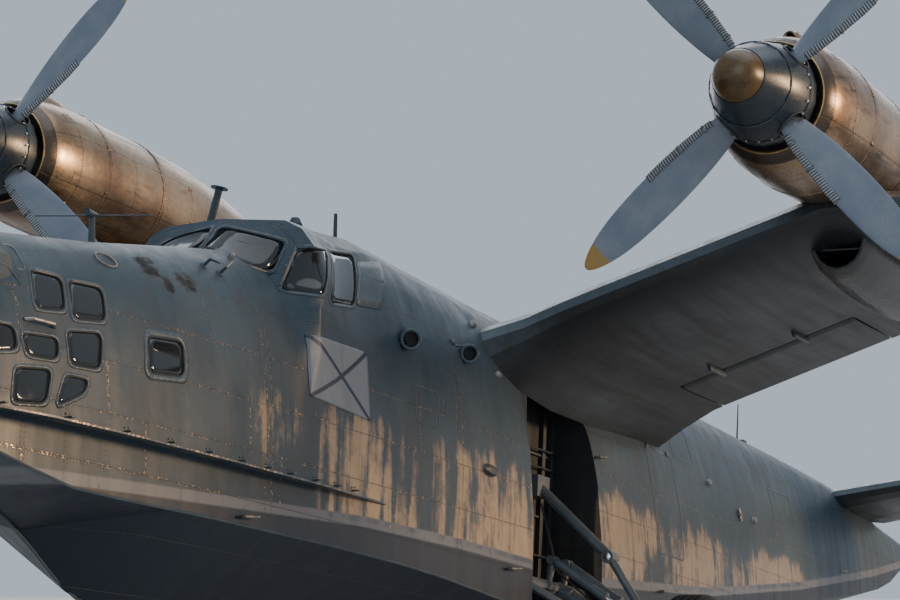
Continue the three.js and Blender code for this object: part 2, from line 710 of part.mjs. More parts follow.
const rudderRadius = 62;
function makeFin() {
  const y = rudderHinge - rudderRadius - running;
  const notch = block(fin.x - 200, fin.x + 500, y, 18200, rudderSpan.from, rudderSpan.to);
  return loft(finRows.map((row) => finRing(row))).subtract(notch);
}

function rudderEnd(z) {
  const x = fin.x + fin.thick / 2;
  return { point: new THREE.Vector3(x, rudderHinge, z), radius: rudderRadius,
      tail: new THREE.Vector3(x, finAt(z).trail, z) };
}

function makeRudder() {
  const { from, to } = rudderSpan;
  const inside = finRows.map((row) => row.z).filter((z) => z > from && z < to);
  const levels = [from + running, ...inside, to - running];
  return surface(levels.map(rudderEnd), [[rudderEnd(from).point, true], [rudderEnd(to).point, false]]);
}

// Engines

// The cowling's outside and inside: [radius, station]
const cowlOuter = [
  [570, nacelle.front], [635, 300], [695, 480], [735, 800], [750, 1300], [728, 1900], [715, 2500],
      [692, 3050],
  [652, 3700], [575, 4300], [480, 4900], [378, 5440], [330, nacelle.back],
];
const cowlInner = [
  [298, nacelle.back], [344, 5440], [446, 4900], [540, 4300], [617, 3700], [657, 3050], [680, 2500],
      [693, 1900],
  [712, 1300], [700, 800], [655, 480], [600, 300], [545, 260],
];

// The radius of the cowling's inside at a station
function cowlRadius(y) {
  const k = cowlInner.findIndex(([, station]) => station <= y);
  const [[r0, y0], [r1, y1]] = [cowlInner[k], cowlInner[k - 1]];
  return mix(r0, r1, (y - y0) / (y1 - y0));
}

function makeNacelle(wing) {
  const shell = turned([...cowlOuter, ...cowlInner, cowlOuter[0]], nacelle.sides, engineX);
  const scoopTop = loft(
    [
      { y: 760, wide: 95, low: 640, high: 825 },
      { y: 880, wide: 110, low: 640, high: 870 },
      { y: 1200, wide: 105, low: 680, high: 865 },
      { y: 1640, wide: 45, low: 690, high: 765 },
    ].map(({ y, wide, low, high }) =>
      Array.from({ length: 9 }, (_, i) => {
        const a = (Math.PI * i) / 8;
        return new THREE.Vector3(engineX + wide * Math.cos(a), y, low + (high - low) * Math.sin(a));
      }),
    ),
  );
  const bore = loft(
    [{ y: 700, wide: 75, high: 815 }, { y: 1020, wide: 75, high: 845 }].map(({ y, wide, high }) =>
      Array.from({ length: 9 }, (_, i) => {
        const a = (Math.PI * i) / 8;
        return new THREE.Vector3(engineX + wide * Math.cos(a), y, 765 + (high - 765) * Math.sin(a));
      }),
    ),
  );
  const inside = turned([[0, 300], ...[...cowlInner].reverse().map(([r, y]) => [r, y]), [0, nacelle.back]],
    nacelle.sides, engineX);
  return shell.add(scoopTop.subtract(inside)).subtract(bore).subtract(wing);
}

// The engine: a plain block, with the ring that carries it in the cowling and the stub of its shaft
function makeEngine(wing) {
  const core = turned([[0, 480], [250, 480], [380, 620], [420, 900], [420, 3600], [0, 3600]], 16, engineX);
  const shaft = turned([[0, 250 + gap], [110, 250 + gap], [110, 500], [0, 500]], 16, engineX);
  const [near, far] = [1400, 1900];
  const rim = (y) => [cowlRadius(y) - gap, y];
  const ring = turned([[400, near], rim(near), rim(far), [400, far], [400, near]], nacelle.sides, engineX);
  return union(core, shaft, ring).subtract(wing);
}

function makeExhaust() {
  const pipe = [[326, nacelle.back + gap], [326, 6420], [300, 6750], [284, 6750], [304, 6420], [302,
      nacelle.back + gap]];
  return turned([...pipe, pipe[0]], nacelle.sides, engineX);
}

// The oil cooler's scoop under the wing
const scoopTable = [
  { y: 2380, wide: 300, low: -1330 },
  { y: 2520, wide: 345, low: -1400 },
  { y: 3300, wide: 400, low: -1480 },
  { y: 4600, wide: 380, low: -1470 },
  { y: 5800, wide: 250, low: -1330 },
  { y: 6500, wide: 90, low: -1130 },
];
function makeCooler(wingGrown) {
  const ring = ({ y, wide, low }, inset) =>
    Array.from({ length: 16 }, (_, i) => {
      const a = (2 * Math.PI * i) / 16;
      const middle = -1000;
      const deep = middle - low - inset;
      return new THREE.Vector3(engineX + (wide - inset) * Math.cos(a), y, middle + deep * Math.sin(a));
    });
  const body = loft(scoopTable.map((row) => ring(row, 0)));
  const mouth = loft([
    ring({ ...scoopTable[0], y: 2300 }, 40),
    ring({ ...scoopTable[1], y: 2700 }, 45),
    ring({ ...scoopTable[2], y: 3250 }, 120),
  ]);
  const cowl = turned([[0, 200], ...cowlOuter.map(([r, y]) => [r + gap, y]), [0, nacelle.back]],
      nacelle.sides, engineX);
  return body.subtract(mouth).subtract(wingGrown).subtract(cowl);
}

// Propeller: four blades on a hub, turned 45 degrees from upright, that turn clockwise as seen from ahead
// r: distance from the shaft, chord, thick, twist in degrees from the plane of the disc
const bladeTable = [
  { r: 330, chord: 200, thick: 150, twist: 40 },
  { r: 620, chord: 340, thick: 92, twist: 27 },
  { r: 1250, chord: 470, thick: 54, twist: 13 },
  { r: 1900, chord: 455, thick: 36, twist: 6 },
  { r: 2330, chord: 330, thick: 20, twist: 3 },
  { r: propRadius, chord: 110, thick: 10, twist: 2 },
];
const hubRadius = 350;

function makePropeller() {
  const blade = loft(
    bladeTable.map(({ r, chord, thick, twist }) => {
      const a = THREE.MathUtils.degToRad(twist);
      return Array.from({ length: 8 }, (_, i) => {
        const u = (2 * Math.PI * i) / 8;
        const c = (chord / 2) * Math.cos(u);
        const t = (thick / 2) * Math.sin(u);
        return new THREE.Vector3(c * Math.cos(a) + t * Math.sin(a), t * Math.cos(a) - c * Math.sin(a), r);
      });
    }),
  );
  const hub = solidOf(new THREE.CylinderGeometry(hubRadius, hubRadius, 300, 18));
  const shaftEnd = solidOf(new THREE.CylinderGeometry(160, 160, 400, 16).translate(0, 50, 0));
  let made = hub.add(shaftEnd);
  for (let i = 0; i < 4; i++) made = made.add(blade.rotate([0, 45 + 90 * i, 0]));
  return made;
}

function makeSpinner() {
  const shell = solidOf(
    new THREE.LatheGeometry(
      [[0, -900], [110, -880], [270, -655], [430, -320], [515, 0], [520, 170], [hubRadius + gap, 170],
          [hubRadius + gap, 135],
        [485, 135], [400, -320], [230, -610], [0, -610]].map(([r, y]) => new THREE.Vector2(r, y)),
      18,
    ),
  );
  const root = loft(
    [300, 620].map((z) =>
      Array.from({ length: 10 }, (_, i) => {
        const a = (2 * Math.PI * i) / 10;
        return new THREE.Vector3(158 * Math.cos(a), 150 * Math.sin(a), z);
      }),
    ),
  );
  let made = shell;
  for (let i = 0; i < 4; i++) made = made.subtract(root.rotate([0, 45 + 90 * i, 0]));
  return made;
}

// Wing tip floats

const floatX = 12500;
const floatTable = [
  { y: 1700, wide: 60, low: -3380, high: -3180 },
  { y: 2000, wide: 250, low: -3680, high: -2960 },
  { y: 2700, wide: 400, low: -3860, high: -2850 },
  { y: 3600, wide: 430, low: -3900, high: -2820 },
  { y: 4500, wide: 370, low: -3760, high: -2860 },
  { y: 5300, wide: 210, low: -3480, high: -2950 },
  { y: 5900, wide: 40, low: -3180, high: -3060 },
];
function makeFloat() {
  return loft(
    floatTable.map(({ y, wide, low, high }) => {
      const middle = mix(low, high, 0.42);
      const ring = [];
      for (let i = 0; i <= 8; i++) {
        const a = (Math.PI * i) / 8;
        ring.push(new THREE.Vector3(floatX + wide * Math.cos(a), y,
            middle + (high - middle) * Math.sin(a)));
      }
      ring.push(new THREE.Vector3(floatX, y, low));
      return ring;
    }),
  );
}

function makeFloatStruts(wingGrown, floatGrown) {
  const strut = (y0, y1, thick) => {
    const rings = [[-3000, y0, 1], [-905, y1, 1.1]].map(([z, y, k]) =>
      Array.from({ length: 12 }, (_, i) => {
        const a = (2 * Math.PI * i) / 12;
        return new THREE.Vector3(floatX + thick * k * Math.sin(a), y + 260 * k * Math.cos(a), z);
      }),
    );
    return loft(rings);
  };
  const link = bar([floatX, 3150, -2500], [floatX, 4000, -2500], 28);
  return union(strut(3000, 3300, 60), strut(4050, 4200, 48), link).subtract(wingGrown)
      .subtract(floatGrown);
}

// Landing gear

const floorAt = (y) => (y * Math.sin(noseUp) - hubHeight) / Math.cos(noseUp);
const axleZ = floorAt(mainWheel.y) + mainWheel.radius / Math.cos(noseUp);
const tailAxle = floorAt(tailWheel.y) + tailWheel.radius / Math.cos(noseUp);

const legPivot = { x: 960, z: -4560 };
const knee = { x: 2230, z: axleZ + 60 };

function makeMainLeg() {
  const { y } = mainWheel;
  const { x, z } = legPivot;
  const leg = bar([x, y, z], [knee.x, y, knee.z], 105, 95, 10);
  const hinge = bar([x, well.front + gap, z], [x, well.back - gap, z], 85, 85, 10);
  const ankle = bar([knee.x, y, axleZ + 90], [knee.x, y, axleZ - 60], 120, 110, 10);
  const stub = bar([knee.x - 30, y, axleZ], [mainWheel.x + 12, y, axleZ], mainWheel.axle,
      mainWheel.axle, 12);
  const drag = bar([x, well.front + 330, z], [1980, y, axleZ + 120], 48, 48, 8);
  return union(leg, hinge, ankle, stub, drag);
}

// The folding side stay, from the well's inner wall to the leg
function makeSideBrace() {
  const { y } = mainWheel;
  const elbow = { x: 1600, z: -4200 };
  const upper = bar([700, y, -3400], [elbow.x, y, elbow.z], 58, 58, 10);
  const joint = bar([elbow.x, y - 90, elbow.z], [elbow.x, y + 90, elbow.z], 75, 75, 10);
  const lower = bar([elbow.x, y, elbow.z], [2150, y, axleZ + 330], 46, 46, 10);
  const lug = bar([2150, y - 70, axleZ + 300], [2150, y + 70, axleZ + 300], 62, 62, 10);
  const trunnion = block(well.inner + gap, 760, y - 160, y + 160, -3520, -3280);
  return union(upper, joint, lower, lug, trunnion);
}

// A tyre and its hub, about the x axis, with a flat of the polygon underneath
const tyreSides = 20;

function wheelPart(profile) {
  const geometry = new THREE.LatheGeometry(profile.map(([r, y]) => new THREE.Vector2(r, y)), tyreSides);
  geometry.rotateY(Math.PI / tyreSides);
  geometry.rotateZ(-Math.PI / 2);
  return solidOf(geometry);
}

function tyreRing({ radius, width, rim }) {
  const h = width / 2;
  const flat = radius / Math.cos(Math.PI / tyreSides);
  const shoulder = mix(rim, radius, 0.45);
  const profile = [
    [rim, -h * 0.72], [shoulder, -h], [radius - 55, -h * 0.88], [flat, -h * 0.45], [flat, h * 0.45],
    [radius - 55, h * 0.88], [shoulder, h], [rim, h * 0.72],
  ];
  return wheelPart([...profile, profile[0]]);
}

// A dished hub. Its axle hole is open on the inner side and runs depth past the middle.
const boreFor = (axle) => (axle + 0.4) / Math.cos(Math.PI / tyreSides);

function hubDisc({ rim, width, axle }, depth) {
  const bore = boreFor(axle);
  const h = (width / 2) * 0.72;
  const edge = rim - gap;
  return wheelPart([
    [bore, -h - 20], [bore + 60, -h - 20], [bore + 70, -h * 0.5], [rim - 60, -h * 0.4], [rim - 40, -h],
        [edge, -h],
    [edge, h], [rim - 40, h], [rim - 60, h * 0.3], [bore + 50, h * 0.6], [bore + 40, h], [0, h],
    [0, depth], [bore, depth], [bore, -h - 20],
  ]);
}

// The tail wheel's gear stands upright on the floor, about an origin at its axle.
const tailPost = { y: -130, radius: 90, crown: 590, top: 1000 };
const tailBoss = 100; // half width of the tail hub at its bosses

function makeTailFork() {
  const { y, radius, crown, top } = tailPost;
  const post = bar([0, y, crown], [0, y, top], radius, radius, 12);
  const bridge = block(-240, 240, y - 110, y + 110, crown - 45, crown + 45);
  const arm = (side) =>
    union(
      bar([side * 205, y, crown], [side * 205, 0, 0], 42, 42, 8),
      bar([side * 242, 0, 0], [side * (tailBoss + 12), 0, 0], 55, 55, 10),
    );
  const pin = bar([-210, 0, 0], [210, 0, 0], tailWheel.axle, tailWheel.axle, 12);
  return union(post, bridge, arm(1), arm(-1), pin);
}

function tailHubDisc() {
  const { rim, axle } = tailWheel;
  const edge = rim - gap;
  const bore = boreFor(axle);
  return wheelPart([
    [bore, -tailBoss], [95, -tailBoss], [105, -55], [rim - 40, -60], [edge, -95], [edge, 95],
        [rim - 40, 60], [105, 55],
    [95, tailBoss], [bore, tailBoss], [bore, -tailBoss],
  ]);
}

// Turns a solid that stands upright on the floor into the aircraft's frame, at a station and a height.
const upright = (solid, y, z) => solid.rotate([THREE.MathUtils.radToDeg(noseUp), 0, 0]).translate([0,
    y, z]);

// Cockpit fittings

function makeSeat() {
  const pan = block(-215, 215, -240, 230, 0, 90);
  const back = slab([[170, 60], [260, 60], [330, 760], [250, 780]], -210, 210);
  const head = slab([[265, 770], [325, 765], [345, 930], [285, 940]], -120, 120);
  const post = block(-90, 90, -60, 120, -240, 10);
  return union(pan, back, head, post);
}

function makePanel() {
  const board = slab([[-2620, -2480], [-2540, -2480], [-2490, -2190], [-2640, -2190]], -540, 540);
  const pedestal = block(-110, 110, -2620, -2350, cockpit.floor + gap, -2540);
  return board.add(pedestal).add(block(-60, 60, -2610, -2550, -2550, -2470));
}

// Assembly

const aircraft = new THREE.Group();
aircraft.position.z = hubHeight;
aircraft.rotation.x = -noseUp;
aircraft.name = "aircraft";

function put(name, solid, look, parent = aircraft, at = [0, 0, 0]) {
  const mesh = new THREE.Mesh(geometryOf(solid), new THREE.MeshStandardMaterial(paint[look]));
  mesh.name = name;
  mesh.position.set(...at);
  parent.add(mesh);
  return mesh;
}

function pair(name, solid, look) {
  put(`${name}_left`, solid, look);
  put(`${name}_right`, mirrored(solid), look);
}

const innerWing = makeInnerWing();
const wingGrown = union(wingSkin(innerRows, gap), wingSkin(outerRows, gap));
const finGrown = loft(finRows.map((row) => finRing(row, gap)));

put("nose_radome", radomeSkin().subtract(block(-900, 900, -6901, -6000, -5000, 0)), "dark");
put("nose_cabin", makeNoseCabin(), "grey");
put("nose_glass", makeNoseGlass(), "glass");
put("navigator_seat", makeSeat(), "seat", aircraft, [0, -6250, deck + 240 + gap]);
put("forward_hull", makeForwardHull(), "grey");
put("cockpit_canopy", makeCanopy(), "grey");
put("cockpit_glass", makeCockpitGlass(), "glass");
put("instrument_panel", makePanel(), "dark");
for (const [side, x] of [["left", 390], ["right", -390]]) {
  put(`pilot_seat_${side}`, makeSeat(), "seat", aircraft, [x, -1560, cockpit.floor + 240 + gap]);
}
put("centre_hull", makeCentreHull(), "grey");
put("rear_hull", makeRearHull(), "grey");
put("tail_boom", makeTailBoom(), "grey");
put("spray_strake", makeStrake(), "grey");
pair("inner_wing", innerWing, "grey");
pair("outer_wing", makeOuterWing(), "grey");
pair("inner_flap", wingSurface(innerFlap), "grey");
pair("outer_flap", wingSurface(outerFlap), "grey");
pair("aileron", wingSurface(aileron), "grey");
pair("tailplane", makeTailplane(finGrown), "grey");
pair("elevator", makeElevator(), "grey");
pair("fin", makeFin(), "grey");
pair("rudder", makeRudder(), "grey");
pair("nacelle", makeNacelle(wingGrown), "metal");
pair("engine", makeEngine(wingGrown), "steel");
pair("exhaust", makeExhaust(), "metal");
pair("cooler", makeCooler(wingGrown), "metal");
const float = makeFloat();
pair("float", float, "grey");
pair("float_struts", makeFloatStruts(wingGrown, float.add(float.translate([0, 0, gap]))), "grey");
pair("main_leg", makeMainLeg(), "steel");
pair("side_brace", makeSideBrace(), "steel");

for (const [side, sign] of [["left", 1], ["right", -1]]) {
  const shaft = new THREE.Group();
  shaft.position.set(sign * engineX, 0, 0);
  shaft.rotation.y = THREE.MathUtils.degToRad(sign > 0 ? 2 : -1.5);
  aircraft.add(shaft);
  put(`propeller_${side}`, makePropeller(), "blade", shaft);
  put(`spinner_${side}`, makeSpinner(), "hullBlue", shaft);
  const axle = new THREE.Group();
  axle.position.set(sign * mainWheel.x, mainWheel.y, axleZ);
  axle.rotation.set(noseUp, 0, sign < 0 ? Math.PI : 0);
  aircraft.add(axle);
  put(`wheel_hub_${side}`, hubDisc(mainWheel, 20), "cream", axle);
  put(`tyre_${side}`, tyreRing(mainWheel), "rubber", axle);
}
const tailGear = new THREE.Group();
tailGear.position.set(0, tailWheel.y, tailAxle);
tailGear.rotation.x = noseUp;
aircraft.add(tailGear);
put("tail_fork", makeTailFork(), "steel", tailGear);
put("tail_wheel_hub", tailHubDisc(), "cream", tailGear);
put("tail_tyre", tyreRing(tailWheel), "rubber", tailGear);

const whole = new THREE.Group();
whole.add(aircraft);
whole.updateMatrixWorld(true);
const box = new THREE.Box3().setFromObject(whole, true);
aircraft.position.y = -(box.min.y + box.max.y) / 2;

export default whole;
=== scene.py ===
import json
import math

import bmesh
import bpy
import numpy as np
from mathutils import Matrix, Vector
from mathutils.bvhtree import BVHTree


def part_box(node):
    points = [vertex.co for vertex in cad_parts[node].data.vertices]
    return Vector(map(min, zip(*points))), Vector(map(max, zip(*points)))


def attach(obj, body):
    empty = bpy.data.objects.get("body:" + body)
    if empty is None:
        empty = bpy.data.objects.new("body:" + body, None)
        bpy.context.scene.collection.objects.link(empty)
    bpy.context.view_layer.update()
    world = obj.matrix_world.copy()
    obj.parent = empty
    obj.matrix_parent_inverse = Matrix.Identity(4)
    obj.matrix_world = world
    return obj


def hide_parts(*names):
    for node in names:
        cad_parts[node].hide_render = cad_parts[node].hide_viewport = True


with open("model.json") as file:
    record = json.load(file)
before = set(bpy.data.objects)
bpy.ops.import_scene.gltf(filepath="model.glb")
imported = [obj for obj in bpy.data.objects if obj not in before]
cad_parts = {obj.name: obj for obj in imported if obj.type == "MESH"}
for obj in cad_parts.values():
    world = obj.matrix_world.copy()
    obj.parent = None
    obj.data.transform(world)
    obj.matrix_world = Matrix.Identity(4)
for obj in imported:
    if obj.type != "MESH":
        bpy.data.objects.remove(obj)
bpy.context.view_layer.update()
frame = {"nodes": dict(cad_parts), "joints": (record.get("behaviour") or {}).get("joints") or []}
nodes = frame["nodes"]
joints = {j["name"]: j for j in frame["joints"]}
print("frame loaded:", len(nodes), "nodes")

# The airframe sits 6 degrees nose up on its wheels. Places are given in its own axes:
# x to port, s aft of the propellers, h above the thrust line, all in metres.
propHub = Vector(joints["propeller_left_turn"]["pos_m"])
airframe = {"pitch": 6.0, "thrustLine": propHub.z, "propPlane": propHub.y, "engineX": propHub.x}
pitch = math.radians(airframe["pitch"])
centre = Vector((0, airframe["propPlane"], airframe["thrustLine"]))
toWorld = Matrix.Translation(centre) @ Matrix.Rotation(-pitch, 4, "X")
aft = toWorld.to_3x3() @ Vector((0, 1, 0))
quarter = math.radians(90)


def at(x, s, h):
    return toWorld @ Vector((x, s, h))


# Camera, floor and lights

camera = {
    "place": (15.261, -29.012, 1.492),  # the middle value is measured from the propeller plane
    "turn": (95.276, 0.0, 25.951),
    "lens": 125.64,
    "sensor": 36.0,
}


def setCamera():
    data = bpy.data.cameras.new("photoCamera")
    data.lens = camera["lens"]
    data.sensor_width = camera["sensor"]
    data.clip_end = 1500
    holder = bpy.data.objects.new("photoCamera", data)
    bpy.context.scene.collection.objects.link(holder)
    x, y, z = camera["place"]
    holder.location = (x, airframe["propPlane"] + y, z)
    holder.rotation_euler = [math.radians(a) for a in camera["turn"]]
    bpy.context.scene.camera = holder


studio = {
    "floor": {"half": 500.0, "colour": (0.5, 0.49, 0.48), "rough": 0.85},
    "sky": {"colour": (0.6, 0.7, 0.82, 1), "strength": 0.8},
    "suns": [
        # name, comes from, aimed at, width in degrees, strength, colour
        ("lowSun", (34, 14, 8), (0, -4, 3.4), 12, 3.3, (1.0, 0.66, 0.36)),
        ("frontFill", (14, -42, 16), (0, -4, 3), 50, 0.7, (0.8, 0.9, 1.0)),
        ("topSoft", (4, 2, 30), (0, 0, 4), 70, 1.4, (0.88, 0.94, 1.0)),
        ("tailFill", (-18, 34, 16), (0, 4, 4), 50, 0.9, (0.95, 0.97, 1.0)),
    ],
}


def makeStudio():
    world = bpy.data.worlds.new("studioSky")
    world.use_nodes = True
    sky = world.node_tree.nodes["Background"]
    sky.inputs["Color"].default_value = studio["sky"]["colour"]
    sky.inputs["Strength"].default_value = studio["sky"]["strength"]
    bpy.context.scene.world = world
    for name, place, target, width, strength, colour in studio["suns"]:
        data = bpy.data.lights.new(name, "SUN")
        data.angle = math.radians(width)
        data.energy = strength
        data.color = colour
        lamp = bpy.data.objects.new(name, data)
        bpy.context.scene.collection.objects.link(lamp)
        lamp.location = place
        lamp.rotation_euler = (Vector(target) - Vector(place)).to_track_quat("-Z", "Y").to_euler()
    shape = bmesh.new()
    bmesh.ops.create_grid(shape, x_segments=1, y_segments=1, size=studio["floor"]["half"])
    floor = addPiece("studioFloor", shape, "floor")
    print("studio lit")


# Material tools: they add nodes to the material made last. feed() takes a socket or a plain value.

socketNames = {
    "colour": "Base Color",
    "metal": "Metallic",
    "rough": "Roughness",
    "specular": "Specular IOR Level",
    "sheen": "Sheen Weight",
    "glass": "Transmission Weight",
    "ior": "IOR",
    "normal": "Normal",
}
making = {"tree": None}


def newMaterial(name, **sockets):
    mat = bpy.data.materials.new(name)
    mat.use_nodes = True
    making["tree"] = mat.node_tree
    fill(**sockets)
    return mat


def feed(socket, value):
    if isinstance(value, bpy.types.NodeSocket):
        making["tree"].links.new(value, socket)
    elif isinstance(value, (tuple, list)) and len(value) == 3 and socket.type == "RGBA":
        socket.default_value = (*value, 1)
    else:
        socket.default_value = value


def wired(node, inputs):
    for key, value in inputs.items():
        feed(node.inputs[key], value)
    return node


def newNode(kind, inputs=()):
    return wired(making["tree"].nodes.new("ShaderNode" + kind), dict(inputs))


# Inputs of the material's shader, by the short names above
def fill(**sockets):
    shader = making["tree"].nodes["Principled BSDF"]
    wired(shader, {socketNames[key]: value for key, value in sockets.items()})


def calc(op, a, b=None, c=None, clamp=False):
    maths = newNode("Math")
    maths.operation = op
    maths.use_clamp = clamp
    return wired(maths, {k: v for k, v in enumerate((a, b, c)) if v is not None}).outputs[0]


def times(a, b):
    return calc("MULTIPLY", a, b)


def minus(a, b):
    return calc("SUBTRACT", a, b)


def absolute(value):
    return calc("ABSOLUTE", value)


def folded(op, values):
    total = values[0]
    for value in values[1:]:
        total = calc(op, total, value)
    return total


def addUp(*values):
    return folded("ADD", values)


def most(*values):
    return folded("MAXIMUM", values)


def mixed(share, a, b):
    mix = newNode("Mix")
    mix.data_type = "RGBA"
    return wired(mix, {0: share, 6: a, 7: b}).outputs[2]


def blendValue(share, a, b):
    mix = newNode("Mix")
    mix.data_type = "FLOAT"
    return wired(mix, {0: share, 2: a, 3: b}).outputs[0]


def spread(value, low, high, toLow=0.0, toHigh=1.0):
    span = newNode("MapRange")
    span.interpolation_type = "SMOOTHSTEP"
    return wired(span, dict(enumerate((value, low, high, toLow, toHigh)))).outputs[0]


def objectPlace():
    return newNode("TexCoord").outputs["Object"]


def split(vector):
    return tuple(newNode("SeparateXYZ", {0: vector}).outputs)


# The airframe's own axes, from the object coordinates: (vector, x, s, h)
def airPlace():
    shift = Matrix.Rotation(pitch, 3, "X") @ -centre
    turn = newNode("Mapping", {"Rotation": (pitch, 0, 0), "Location": shift, "Vector": objectPlace()})
    return turn.outputs[0], *split(turn.outputs[0])


# How far to the side of the nearest propeller shaft, from x
def fromShaft(x):
    return minus(absolute(x), airframe["engineX"])


def joined(x, y, z):
    return newNode("CombineXYZ", {0: x, 1: y, 2: z}).outputs[0]


def scaled(vector, x, y, z):
    return newNode("Mapping", {"Scale": (x, y, z), "Vector": vector}).outputs[0]


def cloud(vector, scale, detail=4.0, rough=0.55):
    noise = newNode("TexNoise", {"Scale": scale, "Detail": detail, "Roughness": rough, "Vector": vector})
    return noise.outputs[0]


def lengthOf(vector):
    size = newNode("VectorMath")
    size.operation = "LENGTH"
    return wired(size, {0: vector}).outputs["Value"]


# How far the surface faces up, from -1 to 1
def upward():
    return split(newNode("TexCoord").outputs["Normal"])[2]


# Distance to the nearest of a row of lines, one every step from start
def toLine(coord, step, start=0.0):
    return calc("PINGPONG", minus(coord, start), step / 2)


def toPlace(coord, place):
    return absolute(minus(coord, place))


def near(distance, half):
    return spread(distance, half * 0.6, half, 1.0, 0.0)


# Rivet heads in a row: along runs down the row, off is the distance from the row's middle line
def rivetRow(along, off, step, radius):
    down = toLine(along, step)
    return near(calc("SQRT", addUp(times(down, down), times(off, off))), radius)


# A shift of a whole number of steps, different for each row
def stagger(row, span, step):
    chance = calc("FRACT", times(calc("SINE", times(row, 12.99)), 43.76))
    return times(calc("FLOOR", times(chance, span / step)), step)


# A seam with a rivet row on each side of it
def rivetedSeam(along, distance, step, radius, gap):
    return rivetRow(along, toPlace(distance, gap), step, radius)


def raised(height, strength, depth, base=None):
    bump = newNode("Bump", {"Strength": strength, "Distance": depth, "Height": height})
    if base is not None:
        feed(bump.inputs["Normal"], base)
    return bump.outputs[0]


# Rivets that stand up and seams that run in, over the soft waves of the skin
def relief(rivets, seams, soft):
    return raised(minus(rivets, times(seams, 1.2)), 0.8, 0.0035, soft)


# A line through the points (from, to), held level past its ends
def followed(coord, points):
    curve = newNode("FloatCurve")
    low, high = points[0][0], points[-1][0]
    floorV = min(v for _, v in points)
    roofV = max(max(v for _, v in points), floorV + 1e-3)
    path = curve.mapping.curves[0]
    while len(path.points) < len(points):
        path.points.new(0.5, 0.5)
    for knot, (u, v) in zip(path.points, points):
        knot.location = ((u - low) / (high - low), (v - floorV) / (roofV - floorV))
        knot.handle_type = "VECTOR"
    curve.mapping.update()
    feed(curve.inputs["Value"], calc("DIVIDE", minus(coord, low), high - low, clamp=True))
    return calc("MULTIPLY_ADD", curve.outputs[0], roofV - floorV, floorV)


# Piece tools

def addPiece(name, shape, finish, body="", smooth=30):
    mesh = bpy.data.meshes.new(name)
    if body:
        bmesh.ops.recalc_face_normals(shape, faces=shape.faces)
    shape.to_mesh(mesh)
    shape.free()
    for face in mesh.polygons:
        face.use_smooth = smooth > 0
    if smooth:
        mesh.set_sharp_from_angle(angle=math.radians(smooth))
    piece = bpy.data.objects.new(name, mesh)
    bpy.context.scene.collection.objects.link(piece)
    mesh.materials.append(finishes[finish])
    if body:
        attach(piece, body)
    return piece


# The same piece on both sides, each riding its own body
def addPair(name, shape, finish, body):
    other = shape.copy()
    bmesh.ops.scale(other, vec=(-1, 1, 1), verts=other.verts)
    addPiece(name + "_left", shape, finish, body + "_left")
    addPiece(name + "_right", other, finish, body + "_right")


# One piece on the airframe, together with its mirror image
def addBoth(name, shape, finish, smooth=30):
    kept = shape.verts[:] + shape.edges[:] + shape.faces[:]
    bmesh.ops.mirror(shape, geom=kept, matrix=Matrix.Identity(4), merge_dist=-1, axis="X")
    return addPiece(name, shape, finish, "airframe", smooth)


def thicken(piece, thickness, offset=1):
    wall = piece.modifiers.new("wall", "SOLIDIFY")
    wall.thickness = thickness
    wall.offset = offset


def soften(piece):
    soft = piece.modifiers.new("soft", "SUBSURF")
    soft.levels = soft.render_levels = 1


def blanks(count):
    return [bmesh.new() for _ in range(count)]


# Finishes

def floorFinish():
    mat = newMaterial("studioFloor", rough=studio["floor"]["rough"])
    base = studio["floor"]["colour"]
    fill(colour=mixed(cloud(objectPlace(), 0.6, 6), tuple(c * 0.94 for c in base), base))
    return mat


hullPaint = {
    "paint": (0.014, 0.029, 0.042),
    "faded": (0.028, 0.047, 0.063),
    # golden bare metal: partly worn paint, partly a painted sunlit sheen
    "worn": (0.47, 0.33, 0.19),
    "soot": (0.005, 0.005, 0.006),
    # dark blue bottom paint, darkened further as painted shade under the hull
    "bottom": (0.003, 0.01, 0.022),
    "band": (0.1, 0.105, 0.115),
    # grime: dirt streaks and dark seams, and also the painted shade inside the wheel wells
    "grime": (0.02, 0.021, 0.023),
    "frameStep": 0.55,
    "frameFrom": -3.66,
    "stringerStep": 0.46,
    "stringerFrom": 0.1,
    "panelLong": 2.2,
    "wellSpan": (2.34, 4.29),
    "bandLine": [(-8.2, -4.76), (-7.58, -4.73), (-4.44, -4.58), (-1.5, -4.43), (0.56, -4.4), (4.0, -4.42),
                 (8.0, -4.12), (12.0, -3.62), (16.0, -3.0), (18.3, -2.6)],
    "bandHalf": 0.065,
    "doubleSeams": (-3.31, 0.55),
    "sootSpots": [(0.62, -4.86, -2.56, 0.34), (0.71, -4.36, -2.58, 0.32), (0.72, -4.7, -2.7, 0.2)],
}


